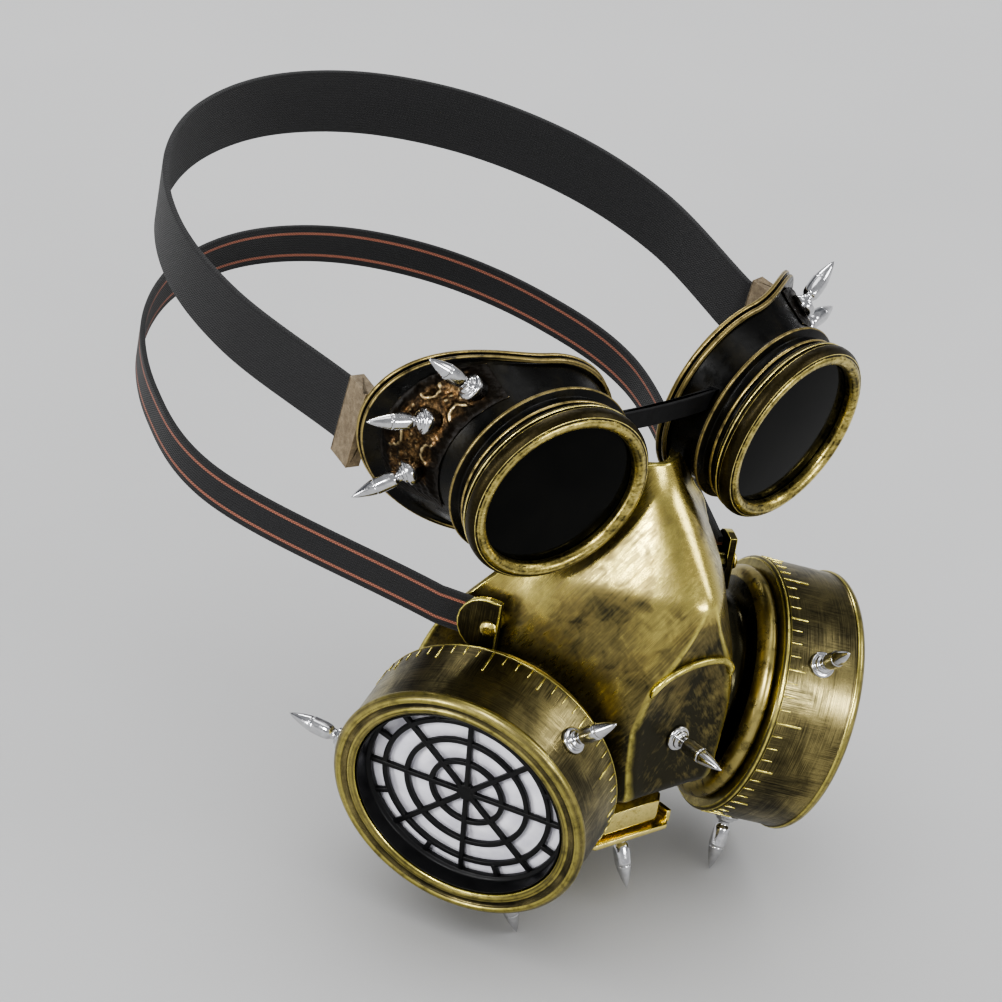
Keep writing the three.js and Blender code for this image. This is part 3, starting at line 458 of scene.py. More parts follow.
def chrome_finish():
    made = Finish("chrome_stud")
    lines = made.noise((0.25, 0.25, 3.0), detail=4)
    made.set("Base Color", made.ramp(made.noise(0.5, detail=4), (0.3, (0.50, 0.50, 0.51)), (0.7, (0.70, 0.70, 0.71))))
    made.set("Metallic", 1.0)
    made.set("Roughness", made.ramp(made.noise(0.7, detail=5), (0.35, 0.08), (0.75, 0.24)))
    made.bump((lines, 0.15, 0.01), (made.noise(1.1, detail=3), 0.15, 0.02))
    return made.material


def felt_finish():
    made = Finish("filter_felt")
    fibre = made.noise((1.1, 1.1, 1.1), detail=8, rough=0.7, warp=2.2)
    lumps = made.noise(0.16, detail=3)
    made.set("Base Color", made.mix(made.ramp(lumps, (0.35, 0.0), (0.65, 1.0)), (0.70, 0.69, 0.76), (0.86, 0.85, 0.90)))
    made.set("Roughness", made.ramp(fibre, (0.3, 0.85), (0.7, 1.0)))
    made.set("Sheen Weight", 0.3)
    made.bump((lumps, 0.4, 0.6), (fibre, 0.7, 0.12))
    return made.material


def lens_finish():
    made = Finish("dark_lens")
    made.set("Base Color", made.ramp(made.noise(0.06, detail=3), (0.35, (0.0012, 0.0013, 0.0010)), (0.7, (0.003, 0.003, 0.0024))))
    made.set("Roughness", made.ramp(made.noise(0.35, detail=6, warp=0.6), (0.4, 0.05), (0.75, 0.17)))
    made.set("Specular IOR Level", 0.06)
    made.bump((made.noise(0.05, detail=2), 0.08, 0.3))
    return made.material


def woven(name, striped):
    """Flat elastic: ribs along it and picks across, in strip coordinates of length, width and thickness."""
    made = Finish(name, "strip")
    split = made.node("ShaderNodeSeparateXYZ", {0: made.place})
    length, across = split.outputs[0], split.outputs[1]
    ribs = made.math("SINE", made.math("MULTIPLY", across, 2 * math.pi / 0.8))
    offset = made.math("MULTIPLY", made.math("SIGN", ribs), math.pi / 2)
    picks = made.math("SINE", made.math("ADD", made.math("MULTIPLY", length, 2 * math.pi / 0.9), offset))
    weave = made.math("ADD", made.math("MULTIPLY", ribs, 0.5), made.math("MULTIPLY", picks, 0.5))
    fuzz = made.noise(2.2, detail=5, rough=0.7)
    base = made.mix(made.ramp(weave, (0.0, 0.0), (0.9, 1.0)), (0.0035, 0.0035, 0.004), (0.012, 0.012, 0.013))
    base = made.mix(0.6, base, made.ramp(fuzz, (0.3, 0.5), (0.65, 1.0)), "MULTIPLY")
    if striped:
        from_middle = made.math("ABSOLUTE", made.math("SUBTRACT", made.math("ABSOLUTE", across), 3.65))
        stripe = made.ramp(from_middle, (0.36, 1.0), (0.52, 0.0))
        copper = made.mix(made.ramp(picks, (0.0, 0.0), (1.0, 1.0)), (0.150, 0.047, 0.028), (0.380, 0.150, 0.095))
        base = made.mix(stripe, base, copper)
    made.set("Base Color", base)
    made.set("Roughness", made.ramp(fuzz, (0.3, 0.7), (0.7, 0.95)))
    made.set("Sheen Weight", 0.1)
    made.bump((weave, 0.8, 0.12), (fuzz, 0.3, 0.04))
    return made.material


def plate_finish():
    made = Finish("strap_plate")
    cells = made.noise(0.35, detail=2, warp=1.0)
    grain = made.node("ShaderNodeTexVoronoi", {"Vector": made.place, "Scale": 1.6}, feature="DISTANCE_TO_EDGE").outputs[0]
    creases = made.ramp(grain, (0.0, 0.0), (0.1, 1.0))
    mottle = made.noise(0.5, detail=7, rough=0.65)
    colour = made.ramp(mottle, (0.3, (0.110, 0.080, 0.046)), (0.52, (0.190, 0.145, 0.088)), (0.75, (0.290, 0.230, 0.145)))
    colour = made.mix(0.5, colour, made.mix(creases, (0.45, 0.42, 0.38), (1.0, 1.0, 1.0)), "MULTIPLY")
    rub = made.math("MULTIPLY", made.ramp(made.attribute("edge"), (0.3, 0.0), (1.1, 0.7)), cells)
    made.set("Base Color", made.mix(rub, colour, (0.50, 0.42, 0.28)))
    made.set("Roughness", made.ramp(mottle, (0.3, 0.62), (0.7, 0.42)))
    made.bump((creases, 0.5, 0.08), (made.noise(1.8, detail=5), 0.35, 0.05))
    return made.material


chrome = chrome_finish()
felt = felt_finish()
lens_black = lens_finish()
elastic = woven("black_elastic", False)
striped_elastic = woven("striped_elastic", True)
strap_plate = plate_finish()


# Half mask shell. Columns: front drop, reach, flat, round; side width, reach, drop; back width, reach, drop

SHELL_ROWS = np.array([
    [-0.024, -0.14, 0.03, 0.08, 0.15, -0.05, -0.016, 0.2, 0.06, 0.0],
    [0.04, -0.29, 0.045, 0.11, 0.24, 0.03, 0.046, 0.36, 0.13, 0.06],
    [0.104, -0.53, 0.045, 0.15, 0.38, 0.07, 0.112, 0.53, 0.19, 0.14],
    [0.175, -0.77, 0.04, 0.19, 0.54, 0.1, 0.18, 0.7, 0.26, 0.205],
    [0.247, -1.0, 0.03, 0.2, 0.69, 0.1, 0.25, 0.8, 0.3, 0.27],
    [0.32, -0.985, 0.11, 0.17, 0.76, 0.08, 0.32, 0.93, 0.39, 0.33],
    [0.4, -0.948, 0.24, 0.13, 0.81, 0.09, 0.4, 1.0, 0.5, 0.41],
    [0.457, -0.9, 0.325, 0.11, 0.84, 0.1, 0.457, 1.02, 0.58, 0.46],
    [0.567, -0.875, 0.39, 0.1, 0.85, 0.13, 0.567, 1.0, 0.7, 0.56],
    [0.667, -0.88, 0.37, 0.1, 0.81, 0.16, 0.667, 0.95, 0.8, 0.66],
    [0.765, -0.895, 0.33, 0.1, 0.74, 0.19, 0.775, 0.86, 0.88, 0.76],
    [0.803, -0.6, 0.31, 0.1, 0.67, 0.22, 0.85, 0.77, 0.92, 0.84],
    [0.865, -0.44, 0.28, 0.09, 0.54, 0.3, 0.915, 0.62, 0.96, 0.905],
    [0.925, -0.3, 0.24, 0.07, 0.38, 0.5, 0.955, 0.42, 1.0, 0.95],
    [0.96, -0.02, 0.18, 0.06, 0.27, 0.65, 0.965, 0.3, 1.01, 0.96],
    [0.98, 0.55, 0.1, 0.04, 0.18, 0.85, 0.975, 0.2, 1.02, 0.965],
])
SHELL_HEIGHT, HALF_WIDTH, NOSE_REACH, BACK_REACH = 120, 46, 32.8, 46
WALL, LIP_FLARE, RIDGE_SLOPE = 2.5, 1.6, 0.25
CREASES = (0, 4, 10, 15)


def steady(values, at):
    """Smooth interpolation that never overshoots its values."""
    count = len(values)
    if count == 2:
        return values[0] + (values[1] - values[0]) * at[:, None]
    step = np.diff(values, axis=0)
    slope = np.zeros_like(values)
    same = step[:-1] * step[1:] > 0
    safe = np.where(same, step[:-1] + step[1:], 1)
    slope[1:-1] = np.where(same, 2 * step[:-1] * step[1:] / safe, 0)
    slope[0], slope[-1] = step[0], step[-1]
    low = np.clip(at.astype(int), 0, count - 2)
    t = (at - low)[:, None]
    start, end = values[low], values[low + 1]
    return ((2 * t ** 3 - 3 * t ** 2 + 1) * start + (t ** 3 - 2 * t ** 2 + t) * slope[low]
            + (3 * t ** 2 - 2 * t ** 3) * end + (t ** 3 - t ** 2) * slope[low + 1])


def shell_rows(steps):
    rows = []
    for first, last in zip(CREASES, CREASES[1:]):
        at = np.linspace(0, last - first, (last - first) * steps + 1)
        part = steady(SHELL_ROWS[first:last + 1], at)
        rows.extend(part if first == 0 else part[1:])
    return rows


def shell_row(row, flat_steps=5, flank_steps=22, side_steps=16):
    """One level of the shell from the right back edge round the front to the left one."""
    drop, reach, flat, round_share, side_width, side_reach, side_drop, back_width, back_reach, back_drop = row

    def depth(share):
        return share * (NOSE_REACH if share < 0 else BACK_REACH)

    front = Vector((0, depth(reach), -drop * SHELL_HEIGHT))
    crown = RIDGE_SLOPE / 2 * flat * HALF_WIDTH * min(max((0.27 - drop) / 0.05, 0), 1)
    corner = Vector((flat * HALF_WIDTH, front.y + crown, front.z))
    side = Vector((side_width * HALF_WIDTH, depth(side_reach), -side_drop * SHELL_HEIGHT))
    back = Vector((back_width * HALF_WIDTH, depth(back_reach), -back_drop * SHELL_HEIGHT))
    turn = round_share * HALF_WIDTH
    control = corner + Vector((turn, turn * RIDGE_SLOPE, 0))
    outward = Vector((back.y - side.y, side.x - back.x, 0)).normalized()
    lip = back + outward * LIP_FLARE
    bend = side.lerp(back, 0.7)

    def curve(a, b, c, t):
        return a * (1 - t) ** 2 + b * (2 * t * (1 - t)) + c * t ** 2

    half = [Vector((corner.x * t, front.y + crown * t * t, front.z)) for t in np.arange(flat_steps) / flat_steps]
    half += [curve(corner, control, side, i / flank_steps) for i in range(flank_steps)]
    half += [curve(side, bend, lip, i / side_steps) for i in range(side_steps + 1)]
    return [Vector((-p.x, p.y, p.z)) for p in reversed(half[1:])] + half


def shell_grid(steps=7):
    grid = np.array([[tuple(p) for p in shell_row(row)] for row in shell_rows(steps)])
    for _ in range(3):
        grid[1:-1] = 0.5 * grid[1:-1] + 0.25 * (grid[:-2] + grid[2:])
        grid[:, 1:-1] = 0.7 * grid[:, 1:-1] + 0.15 * (grid[:, :-2] + grid[:, 2:])
    normal = grid_normals(grid)
    middle = grid.shape[1] // 2
    for i, row in enumerate(grid):
        drop = -row[middle, 2] / SHELL_HEIGHT
        raised = min(max((drop - 0.25) / 0.14, 0), max((0.80 - drop) / 0.05, 0), 1)
        for away, share in ((0, 1.0), (1, 0.45), (-1, 0.35)):
            for column in (middle + 5 + away, middle - 5 - away):
                row[column] += normal[i, column] * (0.5 * share * raised)
    return grid


def grid_normals(grid):
    down = np.gradient(grid, axis=0)
    along = np.gradient(grid, axis=1)
    normal = np.cross(down, along)
    return normal / np.maximum(np.linalg.norm(normal, axis=2, keepdims=True), 1e-9)


def front_at(drop):
    """How far forward the middle of the shell lies at one drop below the origin."""
    return float(np.interp(drop, SHELL_ROWS[:10, 0] * SHELL_HEIGHT, SHELL_ROWS[:10, 1] * NOSE_REACH))


def shell_parts():
    grid = shell_grid()
    normal = grid_normals(grid)
    rows, columns = grid.shape[:2]
    points = grid.reshape(-1, 3).tolist()
    faces = grid_faces(rows, columns)
    inner = grid - normal * WALL
    for _ in range(14):
        inner[:, 1:-1] = 0.5 * inner[:, 1:-1] + 0.25 * (inner[:, :-2] + inner[:, 2:])
        inner[1:-1] = 0.5 * inner[1:-1] + 0.25 * (inner[:-2] + inner[2:])
    start = len(points)
    points += inner.reshape(-1, 3).tolist()
    faces += [tuple(reversed(f)) for f in grid_faces(rows, columns, start=start)]
    border = ([(0, j) for j in range(columns)] + [(i, columns - 1) for i in range(1, rows)]
              + [(rows - 1, j) for j in range(columns - 2, -1, -1)] + [(i, 0) for i in range(rows - 2, 0, -1)])
    bead_steps = 5
    rings = [[i * columns + j for i, j in border]]
    count = len(border)
    for k in range(1, bead_steps):
        turn = math.pi * k / bead_steps
        ring = []
        for n, (i, j) in enumerate(border):
            before, after = border[n - 1], border[(n + 1) % count]
            along = Vector(grid[after]) - Vector(grid[before])
            outward = along.cross(Vector(normal[i, j])).normalized()
            middle = Vector(grid[i, j]) - Vector(normal[i, j]) * (WALL / 2)
            place = middle + Vector(normal[i, j]) * (WALL / 2 * math.cos(turn)) + outward * (0.45 * math.sin(turn))
            ring.append(len(points))
            points.append(tuple(place))
        rings.append(ring)
    rings.append([start + i * columns + j for i, j in border])
    for low, high in zip(rings, rings[1:]):
        for n in range(count):
            m = (n + 1) % count
            faces.append((low[n], low[m], high[m], high[n]))
    return points, faces


def arch_part():
    stations = 48
    path = []
    for i in range(stations + 1):
        turn = math.pi * (1 - i / stations)
        drop = 56 - math.sin(turn) * 8.2
        path.append((math.cos(turn) * 14.8, front_at(drop) - 0.75, -drop))
    return tube(path, lambda t: 1.1 * min(1, 0.55 + 6 * min(t, 1 - t)), sides=14)


def shell_painted_light(point):
    """Painted light: brighter over the nose, its ridge and the flanks beside it as a painted highlight, darker on the
    shield and low on the cheeks as painted shade.
    """
    drop = -point.z / SHELL_HEIGHT
    nose = math.exp(-((drop - 0.18) / 0.2) ** 2)
    flat = float(np.interp(drop, SHELL_ROWS[:, 0], SHELL_ROWS[:, 2])) * HALF_WIDTH
    shield = 1.0 if drop > 0.26 and abs(point.x) < flat and point.y < -18 else 0.0
    ridge = math.exp(-(point.x / 7) ** 2) * min(max((0.3 - drop) / 0.06, 0), 1)
    return 0.5 * nose + 0.8 * ridge - 0.35 * shield - 0.75 * min(max((drop - 0.4) / 0.3, 0), 1)


def shield_line(point):
    """Adds wear along the two creases that border the shield."""
    drop = -point.z / SHELL_HEIGHT
    if not 0.24 < drop < 0.77 or point.y > -18:
        return 0.0
    flat = float(np.interp(drop, SHELL_ROWS[:, 0], SHELL_ROWS[:, 2])) * HALF_WIDTH
    return 0.5 * math.exp(-((abs(point.x) - flat) / 0.7) ** 2)


# Eyepieces

BEZEL_OUT, SIGHT, BORE, BEZEL_DEPTH, LIP_DEPTH = 28.1, 23.0, 24.5, 6.0, 2.3
BARREL, RIDGE_R, RIDGE_DEPTH, RIDGE_WIDTH = 25.8, 28.2, 12.3, 1.6
RIM_R, RIM_DEPTH, FLARE_R, FLARE_DEPTH, RIM_LIP, RIM_BAND, CUP_WALL = 28.4, 26.5, 12, 17, 1.5, 3, 2.2
CUP_TURNS = 144


def flare(angle):
    return max(math.cos(angle - math.radians(5)), 0) ** 2


def cup_ring(side, angle, radius, depth):
    return Vector((side * radius * math.cos(angle), radius * math.sin(angle), -depth))


def cup_point(side, angle, share, lift=0.0):
    grown = flare(angle)
    radius = BARREL + (RIM_R + FLARE_R * grown - BARREL) * share ** 1.322
    start = RIDGE_DEPTH + RIDGE_WIDTH
    depth = start + (RIM_DEPTH + FLARE_DEPTH * grown - start) * share
    return cup_ring(side, angle, radius + lift, depth)


def cup_profile(side, angle, lift=0.0):
    """The cup's outer face at one angle as radius and depth."""
    grown = flare(angle)
    rim_r = RIM_R + FLARE_R * grown
    rim_d = RIM_DEPTH + FLARE_DEPTH * grown
    body = []
    for share in np.linspace(0.03, 0.84, 14):
        place = cup_point(side, angle, float(share))
        body.append((math.hypot(place.x, place.y), -place.z, 0))
    rows = [
        (BARREL, BEZEL_DEPTH + GAP, 0.2), (BARREL, 7.6, 0.3), (26.7, 8.0, 0.3), (26.7, 8.7, 0.3), (BARREL, 9.1, 0.3),
        (BARREL, RIDGE_DEPTH - 1.0, 0.4), (RIDGE_R, RIDGE_DEPTH - 0.2, 0.5), (RIDGE_R, RIDGE_DEPTH + 0.7, 0.5),
        (BARREL + 0.15, RIDGE_DEPTH + RIDGE_WIDTH, 0.4),
    ] + body + [
        (rim_r + 0.1, rim_d - RIM_BAND - 0.35, 0.3), (rim_r + 1.15, rim_d - RIM_BAND, 0.4), (rim_r + 1.15, rim_d - 2.0, 0.4),
        (rim_r + 0.35, rim_d - 1.7, 0.25), (rim_r + 0.35, rim_d - 1.4, 0.25), (rim_r + RIM_LIP, rim_d - 1.1, 0.4),
        (rim_r + RIM_LIP, rim_d, 0.5),
    ]
    return [(r + lift, d, *rest) for r, d, *rest in rows]


def cup_part(side):
    sections = []
    for k in range(CUP_TURNS):
        angle = 2 * math.pi * k / CUP_TURNS
        grown = flare(angle)
        rim_d = RIM_DEPTH + FLARE_DEPTH * grown
        bore = BORE - GAP - CUP_WALL
        front = LIP_DEPTH + 2 + GAP * 2
        loop = [(BORE - GAP, front, 0.2), (BORE - GAP, BEZEL_DEPTH + GAP, 0)] + cup_profile(side, angle) + [
            (RIM_R + FLARE_R * grown - CUP_WALL, rim_d, 0.5), (bore, RIDGE_DEPTH, 3), (bore, front, 0.3)]
        sections.append([cup_ring(side, angle, r, d) for r, d in rounded(loop, steps=3, closed=True)])
    points = [p for section in sections for p in section]
    return points, grid_faces(CUP_TURNS, len(sections[0]), wrap_rows=True, wrap_columns=True)


def cup_cutter(side, gap):
    """The space of an eyepiece, closed, in its own frame."""
    rings = []
    for k in range(72):
        angle = 2 * math.pi * k / 72
        profile = rounded(cup_profile(side, angle, gap), steps=1)
        rings.append([cup_ring(side, angle, r, d) for r, d in profile])
    count = len(rings[0])
    points = [p for ring in rings for p in ring]
    faces = grid_faces(72, count, wrap_rows=True)
    points += [Vector((0, 0, -BEZEL_DEPTH)), Vector((0, 0, -RIM_DEPTH))]
    for k in range(72):
        j = (k + 1) % 72
        faces.append((k * count, j * count, len(points) - 2))
        faces.append((j * count + count - 1, k * count + count - 1, len(points) - 1))
    return points, faces


def bezel_part():
    profile = rounded([
        (SIGHT, -LIP_DEPTH, 0.1), (SIGHT + 0.1, -0.6, 0.5), (23.9, 0.5, 0.8), (25.2, 0.95, 1.0), (26.2, 0.45, 0.5),
        (26.55, -0.05, 0.25), (26.95, 0.05, 0.4), (BEZEL_OUT, -1.5, 1.0), (BEZEL_OUT - 0.1, -3.6, 0.3), (27.0, -3.9, 0.2),
        (27.0, -4.5, 0.2), (27.8, -4.8, 0.3),
        (27.5, -BEZEL_DEPTH, 0.4), (BORE, -BEZEL_DEPTH, 0.2), (BORE, -LIP_DEPTH, 0.1)], steps=5, closed=True)
    return turned(profile, 144, closed=True)


def bezel_tone(point):
    """Darker overall, more so in the groove, down the outside of the ring and towards its back."""
    radius = math.hypot(point.x, point.y)
    return -0.2 - 1.1 * min(max((radius - 26.0) / 0.9, 0), 1) - 0.3 * min(max(-1.0 - point.z, 0), 1)


def bezel_wear(point):
    """Less rubbing outside the ring's crest."""
    radius = math.hypot(point.x, point.y)
    return -0.5 * min(max((radius - 26.2) / 0.4, 0), 1)


def lens_part():
    front = -LIP_DEPTH - GAP
    dome = [(r, front + 0.8 * (1 - (r / 22.7) ** 2)) for r in np.linspace(0, 22.7, 22)]
    return turned([*dome, (24.0, front), (24.2, front - 0.2), (24.2, front - 1.8), (24.0, front - 2.0), (0, front - 2.0)], 128)


def vent_part(side):
    """A panel cast on the cup's temple side, with raised grommets and a hammered face that fades into the cup."""
    start, end = math.radians(-30), math.radians(60)
    rows, columns = 90, 60
    grommets = [(-12, 0.48), (18, 0.48), (46, 0.48), (3, 0.68), (32, 0.7), (3, 0.29), (32, 0.28)]
    top, under = [], []
    for i in range(rows + 1):
        angle = start + (end - start) * i / rows
        for j in range(columns + 1):
            share = 0.2 + 0.6 * j / columns
            rim = min(min(i, rows - i) / 12, min(j, columns - j) / 10, 1.0)
            lift = 0.42 + 0.75 * rim * rim * (3 - 2 * rim)
            place = cup_point(side, angle, share)
            for turn, at in grommets:
                middle = cup_point(side, math.radians(turn), at)
                away = (place - middle).length
                lift += 0.45 * math.exp(-((away - 3.1) / 0.75) ** 2) - 0.55 * math.exp(-(away / 1.9) ** 4)
            lift += 0.16 * math.sin(place.z * 1.9 + 3 * math.sin(place.y * 0.9)) * math.sin(place.y * 2.1 + place.z)
            top.append(cup_point(side, angle, share, max(lift, 0.42)))
            under.append(cup_point(side, angle, share, 0.35))
    columns += 1
    rows += 1
    points = top + under
    faces = grid_faces(rows, columns) + [tuple(reversed(f)) for f in grid_faces(rows, columns, start=len(top))]
    border = ([(0, j) for j in range(columns)] + [(i, columns - 1) for i in range(1, rows)]
              + [(rows - 1, j) for j in range(columns - 2, -1, -1)] + [(i, 0) for i in range(rows - 2, 0, -1)])
    ring = [i * columns + j for i, j in border]
    for n, here in enumerate(ring):
        after = ring[(n + 1) % len(ring)]
        faces.append((here, after, after + len(top), here + len(top)))
    return points, faces


def vent_border(side, point):
    """1 on the panel's border, 0 from a few millimetres inside it."""
    angle = math.degrees(math.atan2(point.y, side * point.x))
    grown = flare(math.radians(angle))
    start = RIDGE_DEPTH + RIDGE_WIDTH
    share = (-point.z - start) / (RIM_DEPTH + FLARE_DEPTH * grown - start)
    inside = min((angle + 30) / 14, (60 - angle) / 14, (share - 0.2) / 0.12, (0.8 - share) / 0.12)
    return 1 - min(max(inside, 0), 1)


# Studs, drums, collars and straps

def stud_part(length, placement=None, carrier=None):
    """A pointed stud with its foot brought down to what carries it."""
    stretch = (length - 6) / 11
    body = [(2.5, 5.8, 1.2), (2.42, 6 + 3.6 * stretch, 0.6), (2.12, 6 + 3.9 * stretch, 0.2), (2.25, 6 + 4.2 * stretch, 0.3),
            (1.7, 6 + 6.6 * stretch, 1.5), (0.75, 6 + 9.6 * stretch, 1.2), (0, length, 0)]
    profile = rounded([(0, -0.2, 0), (3.9, -0.2, 0), (3.9, 0.35, 0.3), (3.55, 0.85, 0.4), (2.75, 0.95, 0.2), (2.6, 1.7, 0.3),
                       (1.75, 2.0, 0.4), (1.6, 3.0, 0.4), (2.3, 4.0, 0.5)] + body, steps=4)
    points, faces = turned(profile, 40)
    if carrier is not None:
        into = -(placement.to_3x3() @ Vector((0, 0, 1))).normalized()
        for index, point in enumerate(points):
            if point[2] > -0.19:
                continue
            start = placement @ Vector((point[0], point[1], 6))
            hit, _, _, distance = carrier.ray_cast(start, into, 12)
            if hit is not None:
                points[index] = (point[0], point[1], min(6 - distance + GAP, 0.3))
    return points, faces


RADIUS, DEPTH, RIM_WIDTH, BAND = 37.9, 26.0, 6.2, 2.8
DRUM_BORE = RADIUS - RIM_WIDTH
GRILL_FRONT = DEPTH - 6.3


def drum_part():
    profile = rounded([
        (0, 0, 0), (RADIUS - 0.9, 0, 0.3), (RADIUS, 0.9, 0.6), (RADIUS, 1.35, 0.1), (RADIUS - 0.3, 1.5, 0.1),
        (RADIUS - 0.3, 1.75, 0.1), (RADIUS, 1.9, 0.1), (RADIUS, DEPTH - BAND - 0.3, 0.3), (RADIUS + 0.62, DEPTH - BAND + 0.2, 0.6),
        (RADIUS + 0.62, DEPTH - 1.3, 0.8), (RADIUS - 0.6, DEPTH, 0.9), (RADIUS - 1.8, DEPTH, 0.5),
        (RADIUS - 2.6, DEPTH - 0.85, 0.4), (RADIUS - 3.5, DEPTH - 0.85, 0.4), (RADIUS - 4.2, DEPTH - 0.25, 0.5),
        (RADIUS - 5.2, DEPTH - 0.25, 0.5), (DRUM_BORE, DEPTH - 0.95, 0.4), (DRUM_BORE, 2.5, 0.3), (0, 2.5, 0)], steps=5)
    fine = []
    for (r0, z0), (r1, z1) in zip(profile, profile[1:]):
        steps = max(1, int(math.hypot(r1 - r0, z1 - z0) / 4)) if min(r0, r1) > 30 else 1
        fine += [(r0 + (r1 - r0) * k / steps, z0 + (z1 - z0) * k / steps) for k in range(steps)]
    return turned(fine + [profile[-1]], 144)


def tick_parts():
    parts = []
    for i in range(60):
        angle = 2 * math.pi * (i + 0.5) / 60
        long = 8 if i % 12 == 0 else 5.4 if i % 4 == 0 else 3.4
        place = Matrix.Rotation(angle, 4, "Z") @ Matrix.Translation((RADIUS + 0.02, 0, 1.9 + long / 2))
        parts.append(block((0.44, 0.4 if i % 4 else 0.6, long), 0.14, place, segments=2))
    return parts


def grill_parts():
    frame_wall = turned(rounded([(30.3, GRILL_FRONT - 1.5, 0.2), (31.4, GRILL_FRONT - 1.5, 0.2), (31.4, DEPTH - 1.3, 0.2),
                                 (30.95, DEPTH - 1.1, 0.2), (30.6, GRILL_FRONT + 0.5, 0.6), (29.4, GRILL_FRONT, 0.3),
                                 (29.4, GRILL_FRONT - 1.5, 0.2)], steps=3, closed=True), 128, closed=True)
    parts = [frame_wall]
    back, crown = GRILL_FRONT - 1.5, GRILL_FRONT
    for radius in (10.8, 18.4, 25.2):
        parts.append(turned(rounded([(radius - 0.8, back, 0.2), (radius + 0.8, back, 0.2), (radius + 0.8, crown - 0.1, 0.45),
                                     (radius - 0.8, crown - 0.1, 0.45)], steps=4, closed=True), 120, closed=True))
    parts.append(turned(rounded([(0, back, 0), (3.0, back, 0.2), (3.0, crown - 0.2, 0.4), (1.9, crown + 0.15, 0.4),
                                 (0, crown + 0.15, 0)], steps=4), 64))
    for i in range(16):
        inner = 1.5 if i % 2 == 0 else 25.2
        length = 30.4 - inner
        place = (Matrix.Rotation(2 * math.pi * i / 16, 4, "Z")
                 @ Matrix.Translation((inner + length / 2, 0, (back + crown + 0.05) / 2)))
        parts.append(block((length, 1.55, 1.5), 0.35, place))
    return parts


def filter_part():
    top = GRILL_FRONT - 1.5 - GAP
    radii = np.linspace(0, 31.0, 40)
    profile = [(float(r), top - 0.25 + 0.25 * math.cos(r * 0.9)) for r in radii] + [(31.4, top - 0.5), (31.4, 3.2), (31.0, 2.8), (0, 2.8)]
    points, faces = turned(profile, 128)
    points = [(x, y, z - 0.2 * (1 + math.sin(x * 0.35 + 1.3) * math.cos(y * 0.41)) * (z > top - 0.6)) for x, y, z in points]
    return points, faces


def collar_part(side, shell):
    """The stepped collar, its neck brought down to the shell all round."""
    seat = drum_seat(side)
    into = -(seat.to_3x3() @ Vector((0, 0, 1))).normalized()
    sides = 128
    outline = rounded([(19.2, -0.3, 0.2), (33.6, -0.3, 0.4), (34.6, -1.2, 1.0), (34.5, -3.0, 1.6), (32.6, -5.0, 2.6),
                       (28.6, -5.9, 2.4), (25.6, -6.2, 1.4), (24.5, -7.6, 1.2)], steps=6)
    necks = []
    for radius in (24.5, 19.2):
        lows = []
        for k in range(sides):
            turn = 2 * math.pi * k / sides
            start = seat @ Vector((radius * math.cos(turn), radius * math.sin(turn), -4))
            hit, _, _, distance = shell.ray_cast(start, into, 40)
            lows.append(-4 - distance + GAP if hit is not None else None)
        for k in range(sides):
            if lows[k] is None or lows[k] > -7.8:
                lows[k] = -7.8 if lows[k] is not None else -20.0
        necks.append(lows)
    points = []
    rows = [[(r, z)] * sides for r, z in outline]
    rows += [[(24.5, -7.6 + (low + 7.6) * t) for low in necks[0]] for t in (0.25, 0.5, 0.75, 1.0)]
    rows += [[(19.2, low) for low in necks[1]], [(19.2, low * 0.5) for low in necks[1]]]
    for row in rows:
        for k, (radius, height) in enumerate(row):
            turn = 2 * math.pi * k / sides
            points.append((radius * math.cos(turn), radius * math.sin(turn), height))
    return points, grid_faces(len(rows), sides, wrap_rows=True, wrap_columns=True)


def collar_painted_highlight(point):
    """A painted highlight: gold laid through the black round the flange's crest, where the glossy collar shows a
    reflection.
    """
    return 2.0 * math.exp(-((math.hypot(point.x, point.y) - 32.6) / 1.9) ** 2)


def spline(points, steps_per_mm=0.5):
    """A centripetal Catmull-Rom curve through points, as closely spaced points."""
    points = [Vector(p) for p in points]
    path = [points[0] * 2 - points[1]] + points + [points[-1] * 2 - points[-2]]
    out = []
    for a, b, c, d in zip(path, path[1:], path[2:], path[3:]):
        t1 = (b - a).length ** 0.5
        t2 = t1 + (c - b).length ** 0.5
        t3 = t2 + (d - c).length ** 0.5
        steps = max(2, int((c - b).length * steps_per_mm))
        for k in range(steps):
            t = t1 + (t2 - t1) * k / steps
            p = a.lerp(b, t / t1)
            q = b.lerp(c, (t - t1) / (t2 - t1))
            r = c.lerp(d, (t - t2) / (t3 - t2))
            u = p.lerp(q, t / t2)
            v = q.lerp(r, (t - t1) / (t3 - t1))
            out.append(u.lerp(v, (t - t1) / (t2 - t1)))
    return out + [points[-1]]


